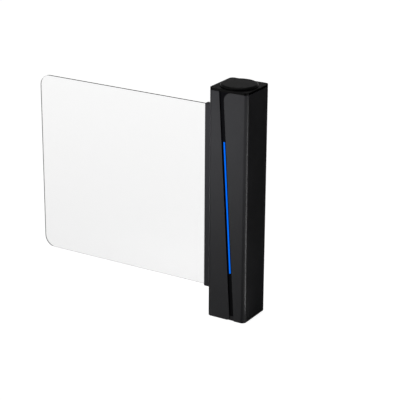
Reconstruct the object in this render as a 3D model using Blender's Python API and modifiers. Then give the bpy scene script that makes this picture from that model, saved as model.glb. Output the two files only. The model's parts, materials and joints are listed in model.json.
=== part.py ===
"""Swing barrier gate: a square post with a motor drive inside and one clear panel that swings beside it.

Metres, +Z up. The origin is the middle of the post's foot, on the floor. The front faces -Y and the
clear panel points to -X. It swings 90 degrees each way about an upright shaft beside the post.
"""

import math

import bmesh
import bpy
from mathutils import Matrix, Vector

# Gaps shared by the whole gate
SEAT_GAP = 0.0003
RUNNING_GAP = 0.00015
CUT_OVERRUN = 0.002
WELD_REACH = 0.000001

# Post and its covers
POST_SIDE = 0.180
POST_HEIGHT = 1.000
POST_CORNER = 0.018
SHELL_WALL = 0.004
LID_THICKNESS = 0.010
LID_EDGE = 0.0016
LID_RIM_DEPTH = 0.008
LID_RIM_WALL = 0.003
LID_RIM_INSET = 0.018
LID_RIM_CORNER = 0.008

# Slanted light groove in the front
GROOVE_WIDTH = 0.0205
GROOVE_DEPTH = 0.006
GROOVE_FOOT_X = 0.0195
GROOVE_HEAD_X = -0.0419
LEFT_PANEL_CORNER = 0.014
RIGHT_PANEL_CORNER = 0.037
TRAY_MARGIN = 0.008
TRAY_FLOOR = 0.003
LIGHT_WIDTH = 0.009
LIGHT_LOW = 0.210
LIGHT_FROM_TOP = 0.220
LIGHT_PROUD = 0.0005
LIGHT_BOARD_WIDTH = 0.014
LIGHT_BOARD_OVERHANG = 0.010
BOARD_THICKNESS = 0.0016

# Foot
BASE_THICKNESS = 0.020
ANCHOR_X = 0.064
ANCHOR_FROM_CHASSIS = 0.012
ANCHOR_RADIUS = 0.005
ANCHOR_HOLE_RADIUS = 0.0058
ANCHOR_WASHER_RADIUS = 0.010
ANCHOR_WASHER_THICKNESS = 0.0025
ANCHOR_NUT_RADIUS = 0.0094
ANCHOR_NUT_HEIGHT = 0.008
ANCHOR_STUD_ABOVE = 0.004
CONDUIT_X = 0.040
CONDUIT_Y = 0.005
CONDUIT_WIDTH = 0.050
CONDUIT_DEPTH = 0.050
CONDUIT_CORNER = 0.008

# Folded steel chassis inside the covers
CHASSIS_WALL = 0.004
CHASSIS_HALF_DEPTH = 0.050
CHASSIS_REAR_FLANGE = 0.026
CHASSIS_SIDE_FLANGE = 0.030
CHASSIS_BEND = 0.006
CHASSIS_HEAD_ROOM = 0.015

# Card reader on the lid
READER_RADIUS = 0.078
READER_TOP_RADIUS = 0.070
READER_HEIGHT = 0.009
READER_SKIRT = 0.002
READER_NECK_RADIUS = 0.030
READER_NECK_BELOW = 0.009
READER_NUT_THICKNESS = 0.005
READER_NUT_RADIUS = 0.038
READER_BOARD_RADIUS = 0.027

# Clear panel and its clamp
PANEL_REACH = 1.000
PANEL_THICKNESS = 0.008
PANEL_LOW = 0.096
PANEL_FROM_TOP = 0.100
PANEL_CORNER = 0.050
CLAMP_WIDTH = 0.055
CLAMP_THICKNESS = 0.024
CLAMP_END_MARGIN = 0.004
CLAMP_BEHIND_AXIS = 0.012
CLAMP_CORNER = 0.003
CLAMP_CAP_THICKNESS = 0.003
CLAMP_POCKET = 0.028
GASKET_THICKNESS = 0.0015
JAW_LAP = 0.006
JAW_SCREW_COUNT = 5
JAW_SCREW_END_MARGIN = 0.070
JAW_SCREW_RADIUS = 0.0022
JAW_SCREW_HEAD_RADIUS = 0.0042
JAW_SCREW_HEAD_HEIGHT = 0.003
JAW_SCREW_GRIP = 0.008

# Hinge beside the post
HINGE_STANDOFF = 0.020
SHAFT_RADIUS = 0.008
BUSH_WALL = 0.0024
BUSH_FLANGE_RADIUS = 0.014
BUSH_FLANGE_THICKNESS = 0.003
THRUST_GAP = 0.0004
BRACKET_HEIGHT = 0.028
BRACKET_RADIUS = 0.020
BRACKET_FLANGE_THICKNESS = 0.006
BRACKET_FLANGE_HALF_WIDTH = 0.026
BRACKET_BOLT_Y = 0.014
BRACKET_BOLT_RADIUS = 0.004
BRACKET_BOLT_GRIP = 0.0105
BRACKET_BOLT_HEAD_RADIUS = 0.0065
BRACKET_BOLT_HEAD_HEIGHT = 0.008
COLLAR_RADIUS = 0.014
COLLAR_HEIGHT = 0.008
SHAFT_END_PROUD = 0.001

# Gear drive
GEAR_MODULE = 0.002
SHAFT_GEAR_TEETH = 18
DRIVE_GEAR_TEETH = 36
GEAR_FACE = 0.014
GEAR_SIDE_GAP = 0.0008
GEAR_BACKLASH = 0.00025
PRESSURE_ANGLE = math.radians(20)
DEDENDUM_SHARE = 1.25
FLANK_SHARES = (0, 0.4, 1)
DRIVE_SHAFT_RADIUS = 0.006
GUARD_WALL = 0.0015
GUARD_GAP = 0.0006
GUARD_FLANGE_LAP = 0.003
STOP_LEVER_GAP = 0.002
STOP_LEVER_THICKNESS = 0.006
STOP_LEVER_HUB = 0.010
STOP_LEVER_LENGTH = 0.034
STOP_LEVER_WIDTH = 0.010
STOP_LEVER_CORNER = 0.002
STOP_BUFFER_RADIUS = 0.005
STOP_BUFFER_ORBIT = 0.028
STOP_SWING = math.radians(45)
STOP_SLACK = math.radians(0.6)
MOTOR_PLATE_THICKNESS = 0.005
MOTOR_PLATE_HEAD_ROOM = 0.016
MOTOR_PLATE_REACH = 0.038
GEARBOX_RADIUS = 0.025
GEARBOX_HEIGHT = 0.050
GEARBOX_BORE_DEPTH = 0.015
MOTOR_RADIUS = 0.022
MOTOR_HEIGHT = 0.100
BRAKE_RADIUS = 0.024
BRAKE_HEIGHT = 0.022
ENCODER_RADIUS = 0.017
ENCODER_HEIGHT = 0.015
DRUM_EDGE = 0.0015

# Equipment on the chassis, inside the post
EQUIPMENT_X = 0.035
TRANSFORMER_SIZE = (0.084, 0.050, 0.070)
TRANSFORMER_LOW = 0.130
TERMINALS_SIZE = (0.070, 0.028, 0.024)
TERMINALS_LOW = 0.240
SUPPLY_SIZE = (0.080, 0.036, 0.130)
SUPPLY_LOW = 0.320
CONTROL_SIZE = (0.084, 0.020, 0.160)
CONTROL_LOW = 0.520
CONTROL_STANDOFF = 0.008
CONTROL_STANDOFF_RADIUS = 0.003
CONTROL_STANDOFF_INSET = 0.007
EQUIPMENT_EDGE = 0.0015

# Rear door with its pins and lock
DOOR_HALF_WIDTH = 0.062
DOOR_GAP = 0.0015
DOOR_WALL = 0.003
DOOR_ROLL = 0.007
DOOR_ROLL_TAIL = 0.002
DOOR_RETURN = 0.006
DOOR_RETURN_BEND = 0.0035
DOOR_FOOT_GAP = 0.002
DOOR_HEAD_GAP = 0.001
DOOR_LUG_RADIUS = 0.0055
DOOR_LUG_HEIGHT = 0.006
DOOR_PIN_RADIUS = 0.0025
DOOR_LOWER_PIN = 0.032
DOOR_UPPER_PIN = 0.036
DOOR_PIN_PAST_LUG = 0.002
LOCK_FROM_EDGE = 0.018
LOCK_HEIGHT = 0.500
LOCK_RADIUS = 0.0095
LOCK_BEZEL_RADIUS = 0.012
LOCK_BEZEL_THICKNESS = 0.0017
LOCK_NUT_RADIUS = 0.014
LOCK_NUT_THICKNESS = 0.003
LOCK_PLUG_RADIUS = 0.006
LOCK_KEYWAY_WIDTH = 0.0016
LOCK_KEYWAY_HEIGHT = 0.007
LOCK_KEYWAY_DEPTH = 0.002
LOCK_TANG_RADIUS = 0.0035
LOCK_CAM_LENGTH = 0.026
LOCK_CAM_WIDTH = 0.014
LOCK_CAM_THICKNESS = 0.003

# Roundness
ROUND_SIDES = 48
SMALL_SIDES = 24
CORNER_STEPS = 8
SMALL_CORNER_STEPS = 3
SCREW_SIDES = 12
LEG_SIDES = 8
SHARP_ANGLE = math.radians(35)

# Places worked out from the sizes above
HALF = POST_SIDE / 2
INNER = HALF - SHELL_WALL
SEAT = INNER - SEAT_GAP
SHELL_TOP = POST_HEIGHT - LID_THICKNESS - SEAT_GAP
SEAT_CORNER = POST_CORNER - SHELL_WALL - SEAT_GAP
BASE_TOP = BASE_THICKNESS + SEAT_GAP
GROOVE_FLOOR_Y = -HALF + GROOVE_DEPTH
TRAY_BACK_Y = GROOVE_FLOOR_Y + TRAY_FLOOR
CHASSIS_TOP = SHELL_TOP - CHASSIS_HEAD_ROOM
ANCHOR_Y = CHASSIS_HALF_DEPTH + ANCHOR_FROM_CHASSIS
LIGHT_HIGH = POST_HEIGHT - LIGHT_FROM_TOP
CHASSIS_INNER_X = -SEAT + CHASSIS_WALL
EQUIPMENT_BACK_Y = -CHASSIS_HALF_DEPTH + CHASSIS_WALL + SEAT_GAP

HINGE_X = -HALF - HINGE_STANDOFF
PANEL_HIGH = POST_HEIGHT - PANEL_FROM_TOP
CLAMP_LOW = PANEL_LOW - CLAMP_END_MARGIN
CLAMP_HIGH = PANEL_HIGH + CLAMP_END_MARGIN
CLAMP_INNER_X = HINGE_X + CLAMP_BEHIND_AXIS
CLAMP_OUTER_X = CLAMP_INNER_X - CLAMP_WIDTH
POCKET_FLOOR_X = CLAMP_OUTER_X + CLAMP_POCKET
POCKET_HALF = PANEL_THICKNESS / 2 + GASKET_THICKNESS + 2 * SEAT_GAP
JAW_INNER_X = POCKET_FLOOR_X + JAW_LAP

BUSH_RADIUS = SHAFT_RADIUS + RUNNING_GAP + BUSH_WALL
BRACKET_STEP = THRUST_GAP + BUSH_FLANGE_THICKNESS + SEAT_GAP
LOWER_BRACKET_TOP = CLAMP_LOW - BRACKET_STEP
LOWER_BRACKET_LOW = LOWER_BRACKET_TOP - BRACKET_HEIGHT
UPPER_BRACKET_LOW = CLAMP_HIGH + BRACKET_STEP
UPPER_BRACKET_TOP = UPPER_BRACKET_LOW + BRACKET_HEIGHT
COLLAR_LOW = UPPER_BRACKET_TOP + THRUST_GAP
SHAFT_HIGH = COLLAR_LOW + COLLAR_HEIGHT + SHAFT_END_PROUD

SHAFT_GEAR_PITCH = GEAR_MODULE * SHAFT_GEAR_TEETH / 2
DRIVE_GEAR_PITCH = GEAR_MODULE * DRIVE_GEAR_TEETH / 2
DRIVE_X = HINGE_X + SHAFT_GEAR_PITCH + DRIVE_GEAR_PITCH
GEAR_TOP = LOWER_BRACKET_LOW - GEAR_SIDE_GAP
GEAR_LOW = GEAR_TOP - GEAR_FACE
SHAFT_LOW = GEAR_LOW - SHAFT_END_PROUD
DRIVE_GEAR_OUTER = DRIVE_GEAR_PITCH + GEAR_MODULE
SHAFT_GEAR_OUTER = SHAFT_GEAR_PITCH + GEAR_MODULE
SLOT_RADIUS = DRIVE_GEAR_OUTER + GEAR_SIDE_GAP
SLOT_HALF_WIDTH = math.sqrt(SLOT_RADIUS**2 - (DRIVE_X - CHASSIS_INNER_X) ** 2)
GUARD_INNER = SHAFT_GEAR_OUTER + GUARD_GAP
GUARD_FLOOR_TOP = SHAFT_LOW - GEAR_SIDE_GAP
GUARD_LOW = GUARD_FLOOR_TOP - GUARD_WALL
GUARD_HIGH = LOWER_BRACKET_LOW - SEAT_GAP
STOP_LEVER_LOW = GEAR_TOP + STOP_LEVER_GAP
STOP_LEVER_HIGH = STOP_LEVER_LOW + STOP_LEVER_THICKNESS
MOTOR_PLATE_LOW = STOP_LEVER_HIGH + MOTOR_PLATE_HEAD_ROOM
MOTOR_PLATE_HIGH = MOTOR_PLATE_LOW + MOTOR_PLATE_THICKNESS
GEARBOX_LOW = MOTOR_PLATE_HIGH + SEAT_GAP
MOTOR_LOW = GEARBOX_LOW + GEARBOX_HEIGHT + SEAT_GAP
BRAKE_LOW = MOTOR_LOW + MOTOR_HEIGHT + SEAT_GAP
ENCODER_LOW = BRAKE_LOW + BRAKE_HEIGHT + SEAT_GAP

DOOR_LOW = BASE_THICKNESS + DOOR_FOOT_GAP
DOOR_HIGH = SHELL_TOP - DOOR_HEAD_GAP
DOOR_AXIS_X = DOOR_HALF_WIDTH - DOOR_ROLL
DOOR_AXIS_Y = HALF - DOOR_ROLL
DOOR_OPENING_HALF = DOOR_HALF_WIDTH + DOOR_GAP
LOWER_PIN_TOP = BASE_TOP + DOOR_LOWER_PIN
UPPER_PIN_LOW = SHELL_TOP - DOOR_UPPER_PIN
LOCK_X = -DOOR_HALF_WIDTH + LOCK_FROM_EDGE
LOCK_FRONT_Y = HALF + SEAT_GAP + LOCK_BEZEL_THICKNESS
LOCK_NUT_BACK_Y = HALF - DOOR_WALL - SEAT_GAP
LOCK_HOUSING_END_Y = LOCK_NUT_BACK_Y - LOCK_NUT_THICKNESS - SEAT_GAP
LOCK_CAM_BACK_Y = LOCK_HOUSING_END_Y - SEAT_GAP

# Colour, roughness, metallic and alpha of each finish
FINISHES = {
    "graphite_coat": ((0.042, 0.042, 0.045), 0.42, 0.0, 1.0),
    "lid_gloss": ((0.005, 0.005, 0.005), 0.25, 0.0, 1.0),
    "reader_plastic": ((0.008, 0.008, 0.008), 0.30, 0.0, 1.0),
    "groove_black": ((0.005, 0.005, 0.006), 0.55, 0.0, 1.0),
    "blue_light": ((0.0, 0.19, 0.96), 0.35, 0.0, 1.0),
    "clamp_coat": ((0.042, 0.042, 0.046), 0.45, 0.0, 1.0),
    "clear_acrylic": ((0.92, 0.94, 0.94), 0.04, 0.0, 0.25),
    "gasket_rubber": ((0.012, 0.012, 0.012), 0.85, 0.0, 1.0),
    "zinc_steel": ((0.46, 0.47, 0.48), 0.38, 1.0, 1.0),
    "bright_steel": ((0.62, 0.62, 0.62), 0.25, 1.0, 1.0),
    "cast_aluminium": ((0.042, 0.042, 0.046), 0.50, 0.0, 1.0),
    "bronze": ((0.55, 0.36, 0.16), 0.35, 1.0, 1.0),
    "drive_black": ((0.03, 0.03, 0.032), 0.5, 0.0, 1.0),
    "board_green": ((0.02, 0.12, 0.05), 0.5, 0.0, 1.0),
    "terminal_grey": ((0.35, 0.36, 0.37), 0.6, 0.0, 1.0),
}


def clear_scene():
    for thing in list(bpy.data.objects):
        bpy.data.objects.remove(thing, do_unlink=True)


def new_collection(name):
    made = bpy.data.collections.new(name)
    bpy.context.scene.collection.children.link(made)
    return made


def new_finish(name):
    colour, roughness, metallic, alpha = FINISHES[name]
    material = bpy.data.materials.new(name)
    material.use_nodes = True
    shader = material.node_tree.nodes["Principled BSDF"]
    shader.inputs["Base Color"].default_value = (*colour, 1.0)
    shader.inputs["Roughness"].default_value = roughness
    shader.inputs["Metallic"].default_value = metallic
    shader.inputs["Alpha"].default_value = alpha
    return material


clear_scene()
GATE = new_collection("swing_barrier_gate")
CUTTERS = new_collection("cutters")
finishes = {name: new_finish(name) for name in FINISHES}


# Objects

def add_part(name, mesh, finish, axis=None):
    part = bpy.data.objects.new(name, mesh)
    part.data.materials.clear()
    part.data.materials.append(finishes[finish])
    GATE.objects.link(part)
    if axis is not None:
        part.parent = axis
        part.matrix_parent_inverse = Matrix.Translation(-axis.location)
    return part


def add_cutter(name, mesh):
    cutter = bpy.data.objects.new(name, mesh)
    CUTTERS.objects.link(cutter)
    cutter.hide_render = True
    cutter.display_type = "WIRE"
    return cutter


def add_axis(name, place):
    axis = bpy.data.objects.new(name, None)
    axis.empty_display_size = SHAFT_RADIUS
    axis.location = place
    GATE.objects.link(axis)
    return axis


def combine(part, tool, operation):
    step = part.modifiers.new(tool.name, "BOOLEAN")
    step.operation = operation
    step.solver = "EXACT"
    step.object = tool


def cut(part, *tools):
    for tool in tools:
        combine(part, tool, "DIFFERENCE")


def join(part, *tools):
    for tool in tools:
        combine(part, tool, "UNION")


def shade_round(mesh):
    mesh.shade_smooth()
    mesh.set_sharp_from_angle(angle=SHARP_ANGLE)
    return mesh


def evaluated_mesh(thing):
    bpy.context.view_layer.update()
    graph = bpy.context.evaluated_depsgraph_get()
    return bpy.data.meshes.new_from_object(thing.evaluated_get(graph))


def mesh_from(name, shape):
    mesh = bpy.data.meshes.new(name)
    shape.to_mesh(mesh)
    shape.free()
    return mesh


# Outlines

def corner_arc(before, corner, after, radius, steps):
    """The round that replaces one corner of an outline."""
    corner = Vector(corner)
    back = (Vector(before) - corner).normalized()
    ahead = (Vector(after) - corner).normalized()
    half_angle = back.angle(ahead) / 2
    middle = corner + (back + ahead).normalized() * (radius / math.sin(half_angle))
    first = corner + back * (radius / math.tan(half_angle)) - middle
    last = corner + ahead * (radius / math.tan(half_angle)) - middle
    sweep = first.angle_signed(last)
    points = []
    for step in range(steps + 1):
        turned_by = Matrix.Rotation(-sweep * step / steps, 2)
        points.append(tuple(middle + turned_by @ first))
    return points


def rounded(corners, radii, steps=CORNER_STEPS, closed=True):
    """An outline whose corners have the radii given, one for each; zero leaves a corner sharp."""
    points = []
    last = len(corners) - 1
    for index, (corner, radius) in enumerate(zip(corners, radii)):
        is_end = not closed and index in (0, last)
        if radius == 0 or is_end:
            points.append(tuple(corner))
            continue
        before = corners[index - 1]
        after = corners[(index + 1) % len(corners)]
        points.extend(corner_arc(before, corner, after, radius, steps))
    return points


def rounded_rectangle(low, high, radius, steps=CORNER_STEPS):
    corners = [(low[0], low[1]), (high[0], low[1]), (high[0], high[1]), (low[0], high[1])]
    return rounded(corners, [radius] * 4, steps)


def circle(centre, radius, sides=ROUND_SIDES):
    turns = [math.tau * side / sides for side in range(sides)]
    return [(centre[0] + radius * math.cos(turn), centre[1] + radius * math.sin(turn)) for turn in turns]


def half_round(centre_x, radius, foot_x, steps=ROUND_SIDES // 2):
    """A tongue that starts at foot_x and ends in a half circle towards -X."""
    turns = [math.pi / 2 + math.pi * step / steps for step in range(steps + 1)]
    bow = [(centre_x + radius * math.cos(turn), radius * math.sin(turn)) for turn in turns]
    return [(foot_x, radius)] + bow + [(foot_x, -radius)]


# Meshes

def plate(name, outline, low, high, plane="XY", holes=()):
    """A flat outline with its holes, given thickness from low to high along the plane's normal."""
    curve = bpy.data.curves.new(name, "CURVE")
    curve.dimensions = "2D"
    curve.fill_mode = "BOTH"
    curve.extrude = (high - low) / 2
    for points in (outline, *holes):
        spline = curve.splines.new("POLY")
        spline.points.add(len(points) - 1)
        for point, (across, along) in zip(spline.points, points):
            point.co = (across, along, 0, 1)
        spline.use_cyclic_u = True
    guide = bpy.data.objects.new(name, curve)
    CUTTERS.objects.link(guide)
    guide.hide_render = True
    mesh = evaluated_mesh(guide)
    bpy.data.objects.remove(guide)
    bpy.data.curves.remove(curve)
    middle = (low + high) / 2
    if plane == "XZ":
        place = Matrix.Translation((0, middle, 0)) @ Matrix.Rotation(math.pi / 2, 4, "X")
    else:
        place = Matrix.Translation((0, 0, middle))
    shape = bmesh.new()
    shape.from_mesh(mesh)
    bpy.data.meshes.remove(mesh)
    bmesh.ops.remove_doubles(shape, verts=shape.verts, dist=WELD_REACH)
    bmesh.ops.transform(shape, matrix=place, verts=shape.verts)
    bmesh.ops.recalc_face_normals(shape, faces=shape.faces)
    return mesh_from(name, shape)


def block(name, low, high):
    low = Vector(low)
    high = Vector(high)
    shape = bmesh.new()
    bmesh.ops.create_cube(shape, size=1)
    bmesh.ops.scale(shape, vec=high - low, verts=shape.verts)
    bmesh.ops.translate(shape, vec=(low + high) / 2, verts=shape.verts)
    return mesh_from(name, shape)


def round_edges(shape, edges, radius, steps):
    bmesh.ops.bevel(
        shape,
        geom=edges,
        offset=radius,
        segments=steps,
        profile=0.5,
        affect="EDGES",
        material=-1,
    )


def round_cornered_block(name, half, low, high, corner, top_edge=0):
    """A square block about the Z axis with round upright corners and, if asked, a rounded top edge."""
    shape = bmesh.new()
    bmesh.ops.create_cube(shape, size=1)
    bmesh.ops.scale(shape, vec=(2 * half, 2 * half, high - low), verts=shape.verts)
    bmesh.ops.translate(shape, vec=(0, 0, (low + high) / 2), verts=shape.verts)
    upright = [edge for edge in shape.edges if abs(edge.verts[0].co.z - edge.verts[1].co.z) > WELD_REACH]
    round_edges(shape, upright, corner, CORNER_STEPS)
    if top_edge:
        top = [edge for edge in shape.edges if min(vert.co.z for vert in edge.verts) > high - WELD_REACH]
        round_edges(shape, top, top_edge, SMALL_CORNER_STEPS)
    return shade_round(mesh_from(name, shape))


def rod(name, start, end, radius, sides=SMALL_SIDES):
    """A round bar, or a prism when it has few sides, between two points."""
    start = Vector(start)
    end = Vector(end)
    along = end - start
    turn = along.to_track_quat("Z", "Y").to_matrix().to_4x4()
    shape = bmesh.new()
    bmesh.ops.create_cone(
        shape,
        cap_ends=True,
        segments=sides,
        radius1=radius,
        radius2=radius,
        depth=along.length,
        matrix=Matrix.Translation((start + end) / 2) @ turn,
    )
    return shade_round(mesh_from(name, shape))


def turned(name, profile, place=(0, 0, 0), along_y=False, ring=False, sides=ROUND_SIDES):
    """A lathe piece. The profile holds (radius, height) pairs and runs down its outer side.

    A ring's profile closes on itself. Along Y, height is measured towards +Y.
    """
    shape = bmesh.new()
    corners = [shape.verts.new((radius, 0, height)) for radius, height in profile]
    pairs = list(zip(corners, corners[1:]))
    if ring:
        pairs.append((corners[-1], corners[0]))
    for pair in pairs:
        shape.edges.new(pair)
    guide = add_cutter(name, mesh_from(name, shape))
    lathe = guide.modifiers.new("lathe", "SCREW")
    lathe.axis = "Z"
    lathe.angle = math.tau
    lathe.screw_offset = 0
    lathe.steps = sides
    lathe.render_steps = sides
    lathe.use_merge_vertices = True
    lathe.merge_threshold = WELD_REACH
    mesh = evaluated_mesh(guide)
    bpy.data.objects.remove(guide)
    lay_down = Matrix.Rotation(-math.pi / 2, 4, "X") if along_y else Matrix.Identity(4)
    mesh.transform(Matrix.Translation(place) @ lay_down)
    return shade_round(mesh)


def drum_profile(radius, low, high, edge):
    """A solid drum with its two rims eased."""
    return [
        (0, high),
        (radius - edge, high),
        (radius, high - edge),
        (radius, low + edge),
        (radius - edge, low),
        (0, low),
    ]


def ring_profile(inner, outer, low, high):
    return [(inner, high), (outer, high), (outer, low), (inner, low)]


def folded_sheet(name, path, wall, low, high):
    """An upright sheet of the given wall. The path is its outer face, anticlockwise round the inside."""
    shape = bmesh.new()
    foot = [shape.verts.new((x, y, low)) for x, y in path]
    edges = [shape.edges.new(pair) for pair in zip(foot, foot[1:])]
    raised = bmesh.ops.extrude_edge_only(shape, edges=edges)["geom"]
    top = [item for item in raised if isinstance(item, bmesh.types.BMVert)]
    bmesh.ops.translate(shape, vec=(0, 0, high - low), verts=top)
    shape.normal_update()
    outward = (foot[1].co - foot[0].co).cross(Vector((0, 0, 1)))
    if edges[0].link_faces[0].normal.dot(outward) < 0:
        bmesh.ops.reverse_faces(shape, faces=shape.faces)
    guide = add_cutter(name, mesh_from(name, shape))
    thicken = guide.modifiers.new("wall", "SOLIDIFY")
    thicken.thickness = wall
    thicken.offset = -1
    thicken.use_even_offset = True
    mesh = evaluated_mesh(guide)
    bpy.data.objects.remove(guide)
    return shade_round(mesh)


def rounded_box_part(name, low, high, edge, finish):
    part = add_part(name, block(name, low, high), finish)
    ease = part.modifiers.new("edges", "BEVEL")
    ease.width = edge
    ease.segments = 2
    return part


# Slanted groove: the two cover edges that it lies between

def groove_left_x(height):
    return GROOVE_FOOT_X + (GROOVE_HEAD_X - GROOVE_FOOT_X) * height / POST_HEIGHT


def groove_right_x(height):
    return groove_left_x(height) + GROOVE_WIDTH


def groove_middle_x(height):
    return groove_left_x(height) + GROOVE_WIDTH / 2


def left_cover_edge():
    """Down the left cover's edge and round its lower corner, as (x, z) points."""
    head = SHELL_TOP + CUT_OVERRUN
    corner = (groove_left_x(0), 0)
    beside = (corner[0] - LEFT_PANEL_CORNER, 0)
    start = (groove_left_x(head), head)
    return [start] + corner_arc(start, corner, beside, LEFT_PANEL_CORNER, CORNER_STEPS)


def right_cover_edge():
    """Up the right cover's edge and round its upper corner, as (x, z) points."""
    foot = -CUT_OVERRUN
    corner = (groove_right_x(SHELL_TOP), SHELL_TOP)
    beside = (corner[0] + RIGHT_PANEL_CORNER, SHELL_TOP)
    start = (groove_right_x(foot), foot)
    return [start] + corner_arc(start, corner, beside, RIGHT_PANEL_CORNER, CORNER_STEPS)


def slanted_strip(low, high, width):
    """A strip along the middle of the groove, as (x, z) points."""
    return [
        (groove_middle_x(low) - width / 2, low),
        (groove_middle_x(low) + width / 2, low),
        (groove_middle_x(high) + width / 2, high),
        (groove_middle_x(high) - width / 2, high),
    ]


# Foot of the post

def make_base():
    anchor_holes = [
        circle((x, y), ANCHOR_HOLE_RADIUS, SMALL_SIDES)
        for x in (-ANCHOR_X, ANCHOR_X)
        for y in (-ANCHOR_Y, ANCHOR_Y)
    ]
    conduit = rounded_rectangle(
        (CONDUIT_X - CONDUIT_WIDTH / 2, CONDUIT_Y - CONDUIT_DEPTH / 2),
        (CONDUIT_X + CONDUIT_WIDTH / 2, CONDUIT_Y + CONDUIT_DEPTH / 2),
        CONDUIT_CORNER,
        SMALL_CORNER_STEPS,
    )
    outline = rounded_rectangle((-SEAT, -SEAT), (SEAT, SEAT), SEAT_CORNER)
    mesh = plate("base_plate", outline, 0, BASE_THICKNESS, holes=[*anchor_holes, conduit])
    add_part("base_plate", mesh, "drive_black")


def make_anchor_bolt(number, x, y):
    """The stud that comes up from the floor, with its washer and hexagon nut."""
    nut_low = BASE_TOP + ANCHOR_WASHER_THICKNESS
    nut_high = nut_low + ANCHOR_NUT_HEIGHT
    stud_top = nut_high + ANCHOR_STUD_ABOVE
    profile = [
        (0, stud_top),
        (ANCHOR_RADIUS, stud_top),
        (ANCHOR_RADIUS, nut_low),
        (ANCHOR_WASHER_RADIUS, nut_low),
        (ANCHOR_WASHER_RADIUS, BASE_TOP),
        (ANCHOR_RADIUS, BASE_TOP),
        (ANCHOR_RADIUS, SEAT_GAP),
        (0, SEAT_GAP),
    ]
    name = f"anchor_bolt_{number}"
    bolt = add_part(name, turned(name, profile, place=(x, y, 0), sides=SMALL_SIDES), "zinc_steel")
    nut_foot = nut_low - ANCHOR_WASHER_THICKNESS / 2
    nut = rod(f"{name}_nut", (x, y, nut_foot), (x, y, nut_high), ANCHOR_NUT_RADIUS, sides=6)
    join(bolt, add_cutter(f"{name}_nut", nut))


def make_anchor_bolts():
    places = [(x, y) for x in (-ANCHOR_X, ANCHOR_X) for y in (-ANCHOR_Y, ANCHOR_Y)]
    for number, (x, y) in enumerate(places, start=1):
        make_anchor_bolt(number, x, y)


# Cuts that pass through the chassis, the left cover and the hinge brackets

def bracket_bolt_places():
    middles = [(LOWER_BRACKET_LOW + LOWER_BRACKET_TOP) / 2, (UPPER_BRACKET_LOW + UPPER_BRACKET_TOP) / 2]
    return [(y, z) for z in middles for y in (-BRACKET_BOLT_Y, BRACKET_BOLT_Y)]


def make_bracket_bolt_holes():
    """Clearance holes from inside the chassis to blind ends in the brackets."""
    inside = CHASSIS_INNER_X + CUT_OVERRUN
    blind_end = -HALF - BRACKET_BOLT_GRIP - 2 * SEAT_GAP
    return [
        add_cutter(
            f"bracket_hole_{number}",
            rod("bracket_hole", (inside, y, z), (blind_end, y, z), BRACKET_BOLT_RADIUS + SEAT_GAP),
        )
        for number, (y, z) in enumerate(bracket_bolt_places(), start=1)
    ]


def make_gear_slot():
    low = (-HALF - CUT_OVERRUN, -SLOT_HALF_WIDTH, GEAR_LOW - GEAR_SIDE_GAP)
    high = (CHASSIS_INNER_X + CUT_OVERRUN, SLOT_HALF_WIDTH, GEAR_TOP + GEAR_SIDE_GAP)
    return add_cutter("gear_slot", block("gear_slot", low, high))


def make_chassis(bolt_holes, gear_slot):
    corners = [
        (-SEAT + CHASSIS_REAR_FLANGE, CHASSIS_HALF_DEPTH),
        (-SEAT, CHASSIS_HALF_DEPTH),
        (-SEAT, -CHASSIS_HALF_DEPTH),
        (SEAT, -CHASSIS_HALF_DEPTH),
        (SEAT, -CHASSIS_HALF_DEPTH + CHASSIS_SIDE_FLANGE),
    ]
    path = rounded(corners, [CHASSIS_BEND] * len(corners), SMALL_CORNER_STEPS, closed=False)
    mesh = folded_sheet("chassis", path, CHASSIS_WALL, BASE_TOP, CHASSIS_TOP)
    chassis = add_part("chassis", mesh, "zinc_steel")
    cut(chassis, gear_slot, *bolt_holes)


# Outer covers

def make_left_shell(bolt_holes, gear_slot):
    front_end = groove_left_x(0) + CUT_OVERRUN
    corners = [(-DOOR_OPENING_HALF, HALF), (-HALF, HALF), (-HALF, -HALF), (front_end, -HALF)]
    path = rounded(corners, [POST_CORNER] * len(corners), closed=False)
    mesh = folded_sheet("left_shell", path, SHELL_WALL, 0, SHELL_TOP)
    shell = add_part("left_shell", mesh, "graphite_coat")
    edge = left_cover_edge()
    past_end = front_end + CUT_OVERRUN
    outline = edge + [
        (edge[-1][0], -CUT_OVERRUN),
        (past_end, -CUT_OVERRUN),
        (past_end, SHELL_TOP + CUT_OVERRUN),
    ]
    trim = plate("left_trim", outline, -HALF - CUT_OVERRUN, -INNER + CUT_OVERRUN, "XZ")
    cut(shell, add_cutter("left_trim", trim), gear_slot, *bolt_holes)


def make_right_shell():
    front_start = groove_right_x(SHELL_TOP) - CUT_OVERRUN
    corners = [(front_start, -HALF), (HALF, -HALF), (HALF, HALF), (DOOR_OPENING_HALF, HALF)]
    path = rounded(corners, [POST_CORNER] * len(corners), closed=False)
    mesh = folded_sheet("right_shell", path, SHELL_WALL, 0, SHELL_TOP)
    shell = add_part("right_shell", mesh, "graphite_coat")
    edge = right_cover_edge()
    before_start = front_start - CUT_OVERRUN
    outline = edge + [
        (edge[-1][0], SHELL_TOP + CUT_OVERRUN),
        (before_start, SHELL_TOP + CUT_OVERRUN),
        (before_start, -CUT_OVERRUN),
    ]
    trim = plate("right_trim", outline, -HALF - CUT_OVERRUN, -INNER + CUT_OVERRUN, "XZ")
    cut(shell, add_cutter("right_trim", trim))


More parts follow.
